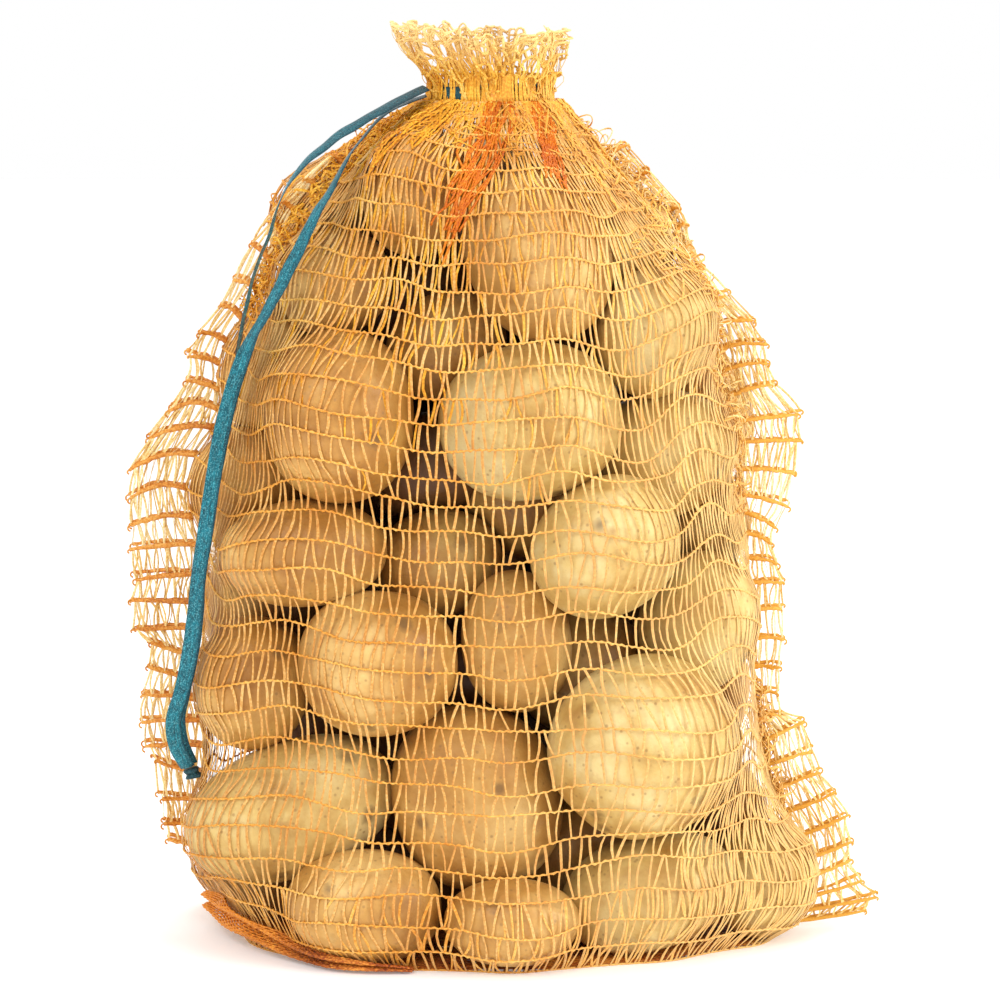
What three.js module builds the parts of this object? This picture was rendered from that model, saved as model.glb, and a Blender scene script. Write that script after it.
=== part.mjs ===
import * as THREE from "three";

// A knitted net sack full of potatoes, gathered at the neck by a flat draw tape and standing on its base.
// Millimetres, +Z up, the front faces -Y, and the origin is on the floor below the neck.

// Net body: the net round the potatoes
const NECK_ROOM = 13; // from the highest potato to the gathered neck
const NECK_BAND = 9; // the straight gathered stretch that the tape goes round
const NECK_HALF_WIDTH = 31;
const NECK_HALF_DEPTH = 23;
const NET_WALL = 1.6;
const NET_STANDOFF = 1.0; // least room between the net and a potato
const STRAND_BAND = 7; // a bundle of knitted rows or strands between two gaps
const GAP_ROWS = 8;
const GAP_COLUMNS = 14;
const PLEAT_DEPTH = 2.6; // at the neck, from the middle of the wall
const PLEAT_REACH = 130; // how far below the neck the pleats fade out

// Mouth: the net above the tape, which flares
const MOUTH_HEIGHT = 27;
const MOUTH_HALF_WIDTH = 37;
const MOUTH_HALF_DEPTH = 30;
const MOUTH_LEAN = -8; // the flare leans to the left
const MOUTH_PLEAT_DEPTH = 5.5;
const MOUTH_SCALLOP = 5; // how far the cut edge rises and falls

// Selvedges outside the two side seams
const FRILL_WIDTH = 28;
const FRILL_WALL = 1.6;
const FRILL_WAVE = 4.5; // the cut edge waves this far to the front and the back
const FRILL_WAVES = 5.5; // waves over the height

// Bottom hem, a gathered strip that comes down from the left seam to the foot of the front
const HEM_WIDTH = 14;
const HEM_WALL = 1.8;
const HEM_FLARE = 5; // its free edge stands off the net by this
const HEM_RISE = 10; // height of its free edge at the left seam
const HEM_SPAN = 10; // how many of the net's upright lines it runs past

// Draw tape
const TAPE_WIDTH = 8;
const TAPE_THICKNESS = 0.8;
const TAPE_FACING = new THREE.Vector3(-0.3, -1, 0.1).normalize();
const TIE_THICKNESS = 1.2;
const TIE_SEGMENTS = 28;
const SEAL_LENGTH = 6; // the fused end of the two strands
const SEAL_WIDTH = 9;
const SEAL_THICKNESS = 5;

// Potatoes
const PILE_HEIGHT = 418; // the table's places are shares of these three
const PILE_HALF_WIDTH = 150;
const PILE_HALF_DEPTH = 88;
const POTATO_LENGTH = 88; // the length that the table's sizes are shares of
const POTATO_SEGMENTS = 10;
const POTATO_RINGS = 8;

const GAP = 0.3; // left between two pieces that touch

const ORANGE_NET = { color: 0xe0901f, roughness: 0.45, metalness: 0 };
const ORANGE_SELVEDGE = { color: 0xd9791a, roughness: 0.5, metalness: 0 };
const BLUE_TAPE = { color: 0x1f7d96, roughness: 0.35, metalness: 0 };
const POTATO_SKIN = { color: 0xd9aa62, roughness: 0.6, metalness: 0 };

// Each potato's place before they settle. across, up and deep are shares of the pile's half width,
// height and half depth, with deep below 0 at the front. long, wide and thick are shares of
// POTATO_LENGTH, thick being front to back. tilt is the long axis above the level, in degrees.
const POTATOES = [
  { across: -0.55, up: 0.665, deep: -0.5, long: 0.99, wide: 0.84, thick: 0.8, tilt: 90 },
  { across: 0.15, up: 0.66, deep: -0.52, long: 1.02, wide: 0.89, thick: 0.84, tilt: 12 },
  { across: 0.17, up: 0.815, deep: -0.42, long: 1.0, wide: 0.82, thick: 0.78, tilt: 110 },
  { across: -0.26, up: 0.89, deep: -0.22, long: 0.72, wide: 0.62, thick: 0.62, tilt: 70 },
  { across: -0.5, up: 0.81, deep: -0.26, long: 0.66, wide: 0.6, thick: 0.6, tilt: 20 },
  { across: -0.15, up: 0.72, deep: -0.12, long: 0.7, wide: 0.6, thick: 0.6, tilt: 30 },
  { across: 0.58, up: 0.71, deep: -0.3, long: 0.76, wide: 0.66, thick: 0.66, tilt: 60 },
  { across: 0.5, up: 0.84, deep: -0.1, long: 0.62, wide: 0.56, thick: 0.56, tilt: 40 },
  { across: 0.54, up: 0.6, deep: -0.24, long: 0.9, wide: 0.72, thick: 0.72, tilt: 25 },
  { across: 0.4, up: 0.515, deep: -0.55, long: 0.86, wide: 0.76, thick: 0.74, tilt: 35 },
  { across: -0.64, up: 0.47, deep: -0.46, long: 0.95, wide: 0.62, thick: 0.64, tilt: 4 },
  { across: -0.16, up: 0.47, deep: -0.2, long: 0.74, wide: 0.62, thick: 0.62, tilt: 10 },
  { across: -0.35, up: 0.37, deep: -0.58, long: 0.92, wide: 0.83, thick: 0.76, tilt: 5 },
  { across: 0.07, up: 0.375, deep: -0.52, long: 0.82, wide: 0.62, thick: 0.62, tilt: 95 },
  { across: -0.8, up: 0.295, deep: -0.34, long: 0.77, wide: 0.66, thick: 0.64, tilt: 80 },
  { across: 0.66, up: 0.385, deep: -0.26, long: 0.82, wide: 0.68, thick: 0.66, tilt: 80 },
  { across: -0.68, up: 0.18, deep: -0.38, long: 1.24, wide: 0.78, thick: 0.74, tilt: 20 },
  { across: 0.0, up: 0.18, deep: -0.56, long: 1.1, wide: 0.96, thick: 0.82, tilt: 105 },
  { across: 0.41, up: 0.26, deep: -0.52, long: 1.07, wide: 1.02, thick: 0.82, tilt: 40 },
  { across: -0.35, up: 0.07, deep: -0.68, long: 0.88, wide: 0.64, thick: 0.66, tilt: 0 },
  { across: 0.58, up: 0.072, deep: -0.58, long: 1.02, wide: 0.66, thick: 0.68, tilt: 14 },
  { across: 0.9, up: 0.105, deep: -0.12, long: 0.68, wide: 0.6, thick: 0.6, tilt: 70 },
  { across: 0.06, up: 0.055, deep: -0.78, long: 0.76, wide: 0.5, thick: 0.56, tilt: 0 },
  { across: -0.85, up: 0.55, deep: -0.02, long: 0.7, wide: 0.64, thick: 0.62, tilt: 80 },
  { across: 0.68, up: 0.22, deep: 0.0, long: 0.68, wide: 0.6, thick: 0.6, tilt: 85 },
  { across: 0.34, up: 0.35, deep: -0.02, long: 0.68, wide: 0.6, thick: 0.6, tilt: 0 },
  { across: -0.72, up: 0.085, deep: 0.42, long: 1.05, wide: 0.78, thick: 0.82, tilt: 8 },
  { across: -0.12, up: 0.085, deep: 0.3, long: 1.0, wide: 0.8, thick: 0.84, tilt: -6 },
  { across: 0.45, up: 0.09, deep: 0.45, long: 1.05, wide: 0.82, thick: 0.84, tilt: 10 },
  { across: -0.5, up: 0.25, deep: 0.5, long: 1.05, wide: 0.88, thick: 0.86, tilt: 30 },
  { across: 0.14, up: 0.26, deep: 0.55, long: 1.02, wide: 0.86, thick: 0.86, tilt: 75 },
  { across: 0.7, up: 0.255, deep: 0.5, long: 0.98, wide: 0.8, thick: 0.82, tilt: 50 },
  { across: -0.72, up: 0.4, deep: 0.4, long: 0.98, wide: 0.82, thick: 0.84, tilt: 70 },
  { across: -0.15, up: 0.43, deep: 0.52, long: 1.05, wide: 0.88, thick: 0.86, tilt: 15 },
  { across: 0.42, up: 0.43, deep: 0.52, long: 1.0, wide: 0.86, thick: 0.86, tilt: -20 },
  { across: -0.42, up: 0.58, deep: 0.5, long: 1.02, wide: 0.86, thick: 0.84, tilt: 40 },
  { across: 0.02, up: 0.6, deep: 0.5, long: 1.05, wide: 0.84, thick: 0.84, tilt: -10 },
  { across: 0.66, up: 0.6, deep: 0.55, long: 0.98, wide: 0.82, thick: 0.82, tilt: 60 },
  { across: -0.32, up: 0.75, deep: 0.4, long: 0.98, wide: 0.8, thick: 0.8, tilt: 20 },
  { across: 0.2, up: 0.77, deep: 0.38, long: 0.95, wide: 0.8, thick: 0.8, tilt: 80 },
  { across: -0.1, up: 0.895, deep: 0.2, long: 0.76, wide: 0.64, thick: 0.66, tilt: 10 },
  { across: -0.54, up: 0.84, deep: 0.3, long: 0.66, wide: 0.58, thick: 0.6, tilt: 60 },
  { across: -0.76, up: 0.68, deep: 0.0, long: 0.74, wide: 0.6, thick: 0.6, tilt: 65 },
  { across: 0.1, up: 0.54, deep: 0.0, long: 0.66, wide: 0.56, thick: 0.5, tilt: 20 },
  { across: -0.19, up: 0.55, deep: 0.0, long: 0.62, wide: 0.52, thick: 0.5, tilt: 10 },
  { across: 0.72, up: 0.48, deep: 0.05, long: 0.62, wide: 0.54, thick: 0.5, tilt: 70 },
  { across: -0.08, up: 0.3, deep: 0.0, long: 0.62, wide: 0.52, thick: 0.5, tilt: 10 },
  { across: 0.26, up: 0.14, deep: -0.05, long: 0.62, wide: 0.52, thick: 0.5, tilt: 30 },
  { across: 0.76, up: 0.13, deep: 0.15, long: 0.62, wide: 0.52, thick: 0.5, tilt: 10 },
  { across: -0.34, up: 0.18, deep: 0.0, long: 0.62, wide: 0.52, thick: 0.5, tilt: 10 },
];

// How far each selvedge reaches past its seam, as a share of FRILL_WIDTH, at shares of the body's height.
const FRILL_REACH = [
  { up: 0.0, left: 0.25, right: 1.3 },
  { up: 0.1, left: 0.45, right: 1.1 },
  { up: 0.22, left: 0.75, right: 1.15 },
  { up: 0.28, left: 0.85, right: 0.7 },
  { up: 0.45, left: 1.1, right: 0.85 },
  { up: 0.6, left: 1.0, right: 0.85 },
  { up: 0.75, left: 0.85, right: 0.8 },
  { up: 0.88, left: 0.55, right: 0.65 },
  { up: 0.96, left: 0.2, right: 0.25 },
];

// Width of the hem as a share of HEM_WIDTH, at shares of its length from the left seam.
const HEM_TAPER = [
  { along: 0, width: 0.6 },
  { along: 0.3, width: 1 },
  { along: 0.7, width: 0.7 },
  { along: 1, width: 0.25 },
];

// The two strands of the draw tape, chosen by hand over the front left of the net. The first stands
// off in a bow and then lies behind the second, and both end in the fused seal.
const BACK_STRAND = [
  [-31, -20, 426], [-40, -24, 422], [-48, -27, 418], [-56, -30, 414], [-64, -32, 409],
  [-71, -33, 405], [-79, -34, 399], [-87, -34, 393], [-95, -36, 384], [-102, -38, 371],
  [-107, -38, 356], [-114, -38, 338], [-119, -40, 319], [-122, -41, 303], [-124, -42, 287],
  [-128, -44, 267], [-133, -46, 242], [-138, -48, 217], [-141, -47, 192], [-144, -45, 168],
  [-147, -44, 148], [-151, -42, 131], [-154, -39, 117], [-153, -35, 104], [-149, -31, 92],
];
const FRONT_STRAND = [
  [-31, -15, 422], [-42, -16, 418], [-53, -20, 412], [-61, -25, 403], [-70, -36, 391],
  [-77, -46, 378], [-84, -53, 366], [-90, -56, 354], [-96, -57, 342], [-102, -57, 330],
  [-109, -55, 318], [-115, -53, 307], [-122, -51, 290], [-129, -49, 266], [-134, -50, 241],
  [-138, -51, 216], [-142, -50, 192], [-145, -48, 167], [-148, -47, 147], [-152, -46, 130],
  [-156, -43, 116], [-155, -39, 103], [-150, -35, 91],
];

const UP = new THREE.Vector3(0, 0, 1);
const DOWN = new THREE.Vector3(0, 0, -1);

// A named mesh of one material.
function piece(name, geometry, finish) {
  const mesh = new THREE.Mesh(geometry, new THREE.MeshStandardMaterial(finish));
  mesh.name = name;
  return mesh;
}

// A table's value in one column where another column, which only rises, has the given value. Straight
// between rows, and level past the first and the last.
function lookUp(table, column, by, value) {
  const next = table.findIndex((row) => row[by] >= value);
  if (next === 0) return table[0][column];
  if (next < 0) return table.at(-1)[column];
  const [low, high] = [table[next - 1], table[next]];
  return THREE.MathUtils.mapLinear(value, low[by], high[by], low[column], high[column]);
}

// A closed geometry from shared points and triangles.
function closedGeometry(points, triangles) {
  const geometry = new THREE.BufferGeometry();
  geometry.setAttribute("position", new THREE.Float32BufferAttribute(points.flatMap((p) => p.toArray()), 3));
  geometry.setIndex(triangles);
  geometry.computeVertexNormals();
  return geometry;
}

// A wall between two grids of points, front[row][column] and back[row][column], seen with columns
// running to the right and rows running up from the front's side. Cells where open(row, column) is
// true are cut through. around joins the last column to the first, and floor closes row 0 by a fan.
function wallGeometry(front, back, { around = false, open = () => false, floor = null }) {
  const rows = front.length;
  const columns = front[0].length;
  const points = [...front.flat(), ...back.flat()];
  const shift = rows * columns;
  const at = (row, column) => row * columns + (column % columns);
  const cellColumns = around ? columns : columns - 1;
  const solid = (row, column) => {
    if (row < 0 || row >= rows - 1) return false;
    if (around) return !open(row, (column + cellColumns) % cellColumns);
    return column >= 0 && column < cellColumns && !open(row, column);
  };
  const triangles = [];
  const quad = (a, b, c, d) => triangles.push(a, b, c, a, c, d);
  for (let row = 0; row < rows - 1; row++) {
    for (let column = 0; column < cellColumns; column++) {
      if (!solid(row, column)) continue;
      const [a, b] = [at(row, column), at(row, column + 1)];
      const [c, d] = [at(row + 1, column + 1), at(row + 1, column)];
      quad(a, b, c, d);
      quad(a + shift, d + shift, c + shift, b + shift);
      if (!solid(row - 1, column) && !(floor && row === 0)) quad(a, a + shift, b + shift, b);
      if (!solid(row + 1, column)) quad(d, c, c + shift, d + shift);
      if (!solid(row, column - 1)) quad(a, d, d + shift, a + shift);
      if (!solid(row, column + 1)) quad(b, b + shift, c + shift, c);
    }
  }
  if (floor) {
    const under = points.push(floor.under) - 1;
    const over = points.push(floor.over) - 1;
    for (let column = 0; column < columns; column++) {
      triangles.push(under, at(0, column + 1), at(0, column));
      triangles.push(over, at(0, column) + shift, at(0, column + 1) + shift);
    }
  }
  return closedGeometry(points, triangles);
}

// Potatoes

// One potato before it settles: an oval about its own centre, with its long axis along X and tilted.
function ovalPotato(row) {
  const half = new THREE.Vector3(row.long, row.thick, row.wide).multiplyScalar(POTATO_LENGTH / 2);
  const turn = new THREE.Matrix4().makeRotationY(-THREE.MathUtils.degToRad(row.tilt));
  const geometry = new THREE.SphereGeometry(1, POTATO_SEGMENTS, POTATO_RINGS)
    .rotateZ(-Math.PI / 2)
    .scale(half.x, half.y, half.z)
    .applyMatrix4(turn);
  const position = geometry.getAttribute("position");
  const corners = [];
  for (let i = 0; i < position.count; i++) corners.push(new THREE.Vector3().fromBufferAttribute(position, i));
  const centre = new THREE.Vector3(
    row.across * PILE_HALF_WIDTH,
    row.deep * PILE_HALF_DEPTH,
    row.up * PILE_HEIGHT,
  );
  return { geometry, corners, half, turn, centre, home: centre.clone() };
}

// The corner of a potato that lies furthest along a direction.
function furthest(potato, direction) {
  let best = potato.corners[0];
  let most = -Infinity;
  for (const corner of potato.corners) {
    const along = corner.dot(direction);
    if (along > most) [most, best] = [along, corner];
  }
  return best;
}

// Height of a potato's lowest corner.
function lowest(potato) {
  return potato.centre.z + furthest(potato, DOWN).z;
}

// Room between two convex potatoes along a direction: positive where a plane across it parts them.
function roomAlong(pair, direction) {
  const near = furthest(pair.a, direction);
  const far = furthest(pair.b, direction.clone().negate());
  const between = pair.b.centre.clone().add(far).sub(pair.a.centre).sub(near);
  return { room: between.dot(direction), between };
}

// Turns a pair's direction by small steps towards the one that leaves most room, and returns that room.
function roomBetween(pair, steps) {
  let found = roomAlong(pair, pair.direction);
  for (let i = 0; i < steps; i++) {
    const sideways = found.between.clone().addScaledVector(pair.direction, -found.room);
    if (sideways.lengthSq() < 1e-9) break;
    const turned = pair.direction.clone().addScaledVector(sideways.normalize(), pair.step).normalize();
    const tried = roomAlong(pair, turned);
    if (tried.room > found.room) {
      [pair.direction, found] = [turned, tried];
      pair.step = Math.min(pair.step * 1.3, 0.3);
    } else {
      pair.step = Math.max(pair.step * 0.5, 0.002);
    }
  }
  return found.room;
}

// Packs the potatoes as they lie in the sack: each is drawn to its own place, inwards and down, and
// any two that come too close are pushed apart. Nothing goes lower than the net under them.
function settle(potatoes) {
  const ROUNDS = 260;
  const QUIET_ROUNDS = 120; // the last rounds only push apart
  const PULL_HOME = 0.05;
  const SQUEEZE = 0.004;
  const SINK = 0.12;
  const pairs = [];
  potatoes.forEach((a, i) => potatoes.slice(i + 1).forEach((b) => {
    pairs.push({ a, b, direction: b.centre.clone().sub(a.centre).normalize(), step: 0.1 });
  }));
  const floor = NET_WALL + GAP;
  const liftOffFloor = (potato) => {
    potato.centre.z += Math.max(0, floor - lowest(potato));
  };
  for (let round = 0; round < ROUNDS + QUIET_ROUNDS; round++) {
    if (round < ROUNDS) {
      for (const potato of potatoes) {
        potato.centre.lerp(potato.home, PULL_HOME);
        potato.centre.x *= 1 - SQUEEZE;
        potato.centre.y *= 1 - SQUEEZE;
        potato.centre.z -= SINK;
      }
    }
    for (const pair of pairs) {
      const reach = pair.a.half.x + pair.b.half.x + 4;
      if (pair.a.centre.distanceTo(pair.b.centre) > reach) continue;
      const short = GAP - roomBetween(pair, 3);
      if (short <= 0) continue;
      pair.a.centre.addScaledVector(pair.direction, -short / 2);
      pair.b.centre.addScaledVector(pair.direction, short / 2);
    }
    potatoes.forEach(liftOffFloor);
  }
  dropOntoNeighbours(potatoes, pairs, floor);
}

// Lets each potato down, from the lowest up, until it touches the floor or a neighbour below it.
function dropOntoNeighbours(potatoes, pairs, floor) {
  const DROPS = 60;
  const TOUCH = 0.05;
  for (const potato of [...potatoes].sort((a, b) => lowest(a) - lowest(b))) {
    const own = pairs.filter((pair) => pair.a === potato || pair.b === potato);
    for (let drop = 0; drop < DROPS; drop++) {
      const falls = own.map((pair) => {
        const room = roomBetween(pair, 6) - GAP;
        const closing = pair.b === potato ? pair.direction.z : -pair.direction.z;
        return closing > 0 ? room / closing : Infinity;
      });
      const fall = Math.min(lowest(potato) - floor, ...falls);
      if (fall < TOUCH) break;
      potato.centre.z -= fall;
    }
  }
}

const potatoes = POTATOES.map(ovalPotato);
settle(potatoes);
const pileTop = Math.max(...potatoes.map((potato) => potato.centre.z + furthest(potato, UP).z));
const neckFoot = pileTop + NECK_ROOM;
const bodyHeight = neckFoot + NECK_BAND;

// Net body

// How far along a level ray from the axis the last of the potatoes is left, with the net's own room
// round each. 0 where the ray meets none.
function reachOfPotatoes(direction, z) {
  const room = NET_WALL + NET_STANDOFF;
  let reach = 0;
  for (const potato of potatoes) {
    const shrink = new THREE.Matrix4()
      .makeScale(1 / (potato.half.x + room), 1 / (potato.half.y + room), 1 / (potato.half.z + room))
      .multiply(potato.turn.clone().transpose());
    const start = new THREE.Vector3(0, 0, z).sub(potato.centre).applyMatrix4(shrink);
    const ray = direction.clone().applyMatrix4(shrink);
    const [a, b, c] = [ray.lengthSq(), ray.dot(start), start.lengthSq() - 1];
    const inside = b * b - a * c;
    if (inside >= 0) reach = Math.max(reach, (Math.sqrt(inside) - b) / a);
  }
  return reach;
}

// Heights of the net's level lines: a band, then a gap with one line across its middle, and so on.
function levelLines() {
  const gap = (neckFoot - GAP_ROWS * STRAND_BAND) / GAP_ROWS;
  const heights = [];
  for (let row = 0; row < GAP_ROWS; row++) {
    const low = row * (STRAND_BAND + gap);
    heights.push(low, low + STRAND_BAND, low + STRAND_BAND + gap / 2);
  }
  return [...heights, neckFoot, bodyHeight];
}

// Directions of the net's upright lines, evenly round the body's oval: a bundle of strands, then a gap
// with one line down its middle, and so on. Line 0 points to the right.
function uprightLines() {
  const column = (2 * Math.PI) / GAP_COLUMNS;
  const bundle = STRAND_BAND / Math.sqrt((PILE_HALF_WIDTH ** 2 + PILE_HALF_DEPTH ** 2) / 2);
  const lines = [];
  for (let i = 0; i < GAP_COLUMNS; i++) {
    const middle = i * column;
    for (const turn of [middle - bundle / 2, middle + bundle / 2, middle + column / 2]) {
      const level = new THREE.Vector3(PILE_HALF_WIDTH * Math.cos(turn), PILE_HALF_DEPTH * Math.sin(turn), 0);
      lines.push({ turn, direction: level.normalize() });
    }
  }
  return lines;
}

// Radius of an oval along a level direction.
function ovalRadius(direction, halfWidth, halfDepth) {
  return 1 / Math.hypot(direction.x / halfWidth, direction.y / halfDepth);
}

// Draws the net tight over the potatoes: each point of its grid is pulled to the middle of its
// neighbours, but never nearer than the potatoes allow. The neck keeps its own size.
function tautNet(levels, uprights) {
  const ROUNDS = 500;
  const rows = levels.length;
  const columns = uprights.length;
  const neckRow = rows - 2; // this row and the next are the straight neck
  const neck = uprights.map(({ direction }) => ovalRadius(direction, NECK_HALF_WIDTH, NECK_HALF_DEPTH));
  const least = levels.map((z, row) => uprights.map(({ direction }, column) => {
    if (row >= neckRow) return neck[column];
    const before = uprights[(column + columns - 1) % columns].direction;
    const after = uprights[(column + 1) % columns].direction;
    const aside = [before.clone().lerp(direction, 0.5), direction, after.clone().lerp(direction, 0.5)];
    const below = row ? (z + levels[row - 1]) / 2 : z;
    const heights = [below, (below + z) / 2, z, (3 * z + levels[row + 1]) / 4, (z + levels[row + 1]) / 2];
    const reaches = aside.flatMap((ray) => heights.map((height) => reachOfPotatoes(ray.clone().normalize(), height)));
    return Math.max(neck[column], ...reaches) + PLEAT_DEPTH * pleating(z);
  }));
  const radius = least.map((row) => [...row]);
  for (let round = 0; round < ROUNDS; round++) {
    for (let row = 0; row < neckRow; row++) {
      const under = radius[Math.max(row - 1, 0)];
      const over = radius[row + 1];
      for (let column = 0; column < columns; column++) {
        const [left, right] = [(column + columns - 1) % columns, (column + 1) % columns];
        const bend = uprights[left].direction.dot(uprights[right].direction);
        const across = ((radius[row][left] + radius[row][right]) / 2) * Math.sqrt((1 + bend) / 2);
        const along = (under[column] + over[column]) / 2;
        radius[row][column] = Math.max(least[row][column], (across + along) / 2);
      }
    }
  }
  return radius;
}

// How far the pleats are formed at a height: 0 far below the neck, and 1 at it.
function pleating(z) {
  return THREE.MathUtils.smoothstep(z, neckFoot - PLEAT_REACH, neckFoot);
}

const levels = levelLines();
const uprights = uprightLines();
const netRadius = tautNet(levels, uprights);

// A pleat of the gathered net: 1 on the bundles of strands and -1 half way between them.
function pleat(turn) {
  return Math.cos(GAP_COLUMNS * turn);
}

// A point of the net, at the grid's row and column, moved inwards by inset.
function netPoint(row, column, inset) {
  const { turn, direction } = uprights[column];
  const z = levels[row];
  const radius = netRadius[row][column] + PLEAT_DEPTH * pleating(z) * pleat(turn) - inset;
  return direction.clone().multiplyScalar(radius).setZ(row === 0 && inset > 0 ? NET_WALL : z);
}

function netBody() {
  const grid = (inset) => levels.map((_, row) => uprights.map((_, column) => netPoint(row, column, inset)));
  const open = (row, column) => row < levels.length - 2 && row % 3 !== 0 && column % 3 !== 0;
  const floor = { under: new THREE.Vector3(9, 7, 0), over: new THREE.Vector3(9, 7, NET_WALL) };
  return piece("net_body", wallGeometry(grid(0), grid(NET_WALL), { around: true, open, floor }), ORANGE_NET);
}

// Mouth: the flared net above the tape, with the neck's own pleats and a cut edge that rises and falls.
function mouthFrill() {
  const ROWS = 4;
  const grid = (inset) => Array.from({ length: ROWS + 1 }, (_, row) => {
    const share = row / ROWS;
    const flare = Math.sin((share * Math.PI) / 2);
    return uprights.map(({ turn, direction }) => {
      const oval = ovalRadius(
        direction,
        THREE.MathUtils.lerp(NECK_HALF_WIDTH, MOUTH_HALF_WIDTH, flare),
        THREE.MathUtils.lerp(NECK_HALF_DEPTH, MOUTH_HALF_DEPTH, flare),
      );
      const radius = oval + THREE.MathUtils.lerp(PLEAT_DEPTH, MOUTH_PLEAT_DEPTH, share) * pleat(turn) - inset;
      const edge = share * MOUTH_SCALLOP * (Math.sin(3 * turn + 0.6) - 1) / 2;
      return direction.clone().multiplyScalar(radius).setZ(bodyHeight + GAP + share * MOUTH_HEIGHT + edge)
        .add(new THREE.Vector3(share * MOUTH_LEAN, 0, 0));
    });
  });
  return piece("mouth_frill", wallGeometry(grid(0), grid(NET_WALL), { around: true }), ORANGE_NET);
}

// Selvedge outside a side seam, from one of the net's level lines up to the neck: a strip of two net
// layers whose cut edge waves and is toothed.
function sideFrill(name, side, firstRow) {
  const TOOTH = 0.84; // reach of a line between two knitted bands, as a share of the bands' own
  const column = side > 0 ? 0 : uprights.findIndex(({ turn }) => turn > Math.PI) - 1;
  const rows = Array.from({ length: levels.length - 2 - firstRow }, (_, i) => firstRow + i);
  const grid = (face) => rows.map((row) => {
    const up = levels[row] / bodyHeight;
    const seam = Math.max(netRadius[row][column], netRadius[row][column + 1]);
    const inner = seam + PLEAT_DEPTH * pleating(levels[row]) + GAP;
    const tooth = row % 3 === 2 ? TOOTH : 1;
    const reach = FRILL_WIDTH * tooth * lookUp(FRILL_REACH, side < 0 ? "left" : "right", "up", up);
    const wave = FRILL_WAVE * Math.sin(2 * Math.PI * FRILL_WAVES * up);
    return [0, 0.5, 1].map((share) => new THREE.Vector3(
      side * (inner + share * reach),
      wave * share * share + (face * FRILL_WALL) / 2,
      levels[row],
    ));
  });
  return piece(name, wallGeometry(grid(-side), grid(side), {}), ORANGE_SELVEDGE);
}

// Radius of the net at a height, straight between its level lines.
function radiusAt(column, z) {
  const row = levels.findIndex((level) => level > z) - 1;
  const share = (z - levels[row]) / (levels[row + 1] - levels[row]);
  return THREE.MathUtils.lerp(netRadius[row][column], netRadius[row + 1][column], share);
}

// Bottom hem: a gathered strip whose free edge stands off the net and comes down to the floor.
function bottomHem() {
  const first = uprights.findIndex(({ turn }) => turn > Math.PI);
  const columns = Array.from({ length: HEM_SPAN + 1 }, (_, i) => first + i);
  const point = (column, share, out) => {
    const along = (column - first) / HEM_SPAN;
    const width = HEM_WIDTH * lookUp(HEM_TAPER, "width", "along", along);
    const z = HEM_RISE * (1 - along) ** 1.5 + share * width;
    const clear = Math.max(radiusAt(column, z), radiusAt(column, z + HEM_WALL)) + GAP;
    const radius = clear + (1 - share) * HEM_FLARE + out;
    return uprights[column].direction.clone().multiplyScalar(radius).setZ(z);
  };
  const grid = (out) => [0, 0.5, 1].map((share) => columns.map((column) => point(column, share, out)));
  return piece("bottom_hem", wallGeometry(grid(HEM_WALL), grid(0), {}), ORANGE_SELVEDGE);
}

// Draw tape

// The turn of tape round the neck: a flat ring that clears the pleats.
function neckTie() {
  const inner = (grow) => {
    const path = new THREE.Path();
    path.absellipse(0, 0, NECK_HALF_WIDTH + PLEAT_DEPTH + GAP + grow, NECK_HALF_DEPTH + PLEAT_DEPTH + GAP + grow, 0, 2 * Math.PI);
    return path.getPoints(TIE_SEGMENTS).slice(0, -1);
  };
  const ring = new THREE.Shape(inner(TIE_THICKNESS));
  ring.holes.push(new THREE.Path(inner(0)));
  const geometry = new THREE.ExtrudeGeometry(ring, { depth: TAPE_WIDTH, bevelEnabled: false })
    .translate(0, 0, bodyHeight - GAP - TAPE_WIDTH);
  return piece("neck_tie", geometry, BLUE_TAPE);
}

// One strand: a straight length of flat section with its corners cut, then bent along its route with
// its face kept to the front.
function tapeStrand(name, route) {
  const STEPS = 32;
  const [flat, wide] = [TAPE_THICKNESS / 2, TAPE_WIDTH / 2];
  const corners = [[wide, flat / 2], [wide - flat, flat], [flat - wide, flat], [-wide, flat / 2]];
  const outline = [...corners, ...corners.map(([x, y]) => [-x, -y])].map(([x, y]) => new THREE.Vector2(x, y));
  const settings = { depth: 1, steps: STEPS, bevelEnabled: false };
  const geometry = new THREE.ExtrudeGeometry(new THREE.Shape(outline), settings);
  const curve = new THREE.CatmullRomCurve3(route.map((point) => new THREE.Vector3(...point)));
  const position = geometry.getAttribute("position");
  for (let i = 0; i < position.count; i++) {
    const along = curve.getTangentAt(position.getZ(i));
    const across = TAPE_FACING.clone().cross(along).normalize();
    const face = along.clone().cross(across);
    const bent = curve.getPointAt(position.getZ(i))
      .addScaledVector(across, position.getX(i))
      .addScaledVector(face, position.getY(i));
    position.setXYZ(i, bent.x, bent.y, bent.z);
  }
  return piece(name, geometry, BLUE_TAPE);
}

// The fused end that holds both strands.
function tapeSeal() {
  const last = new THREE.Vector3(...FRONT_STRAND.at(-1));
  const before = new THREE.Vector3(...FRONT_STRAND.at(-2));
  const behind = new THREE.Vector3(...BACK_STRAND.at(-1));
  const down = last.clone().sub(before).normalize();
  const geometry = new THREE.BoxGeometry(SEAL_WIDTH, SEAL_THICKNESS, SEAL_LENGTH);
  const seal = piece("tape_seal", geometry, BLUE_TAPE);
  seal.position.copy(last).lerp(behind, 0.5).addScaledVector(down, SEAL_LENGTH / 2 + 1.5);
  seal.quaternion.setFromUnitVectors(new THREE.Vector3(0, 0, -1), down);
  return seal;
}

function potatoMesh(potato, index) {
  const mesh = piece(`potato_${String(index + 1).padStart(2, "0")}`, potato.geometry, POTATO_SKIN);
  mesh.position.copy(potato.centre);
  return mesh;
}

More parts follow.
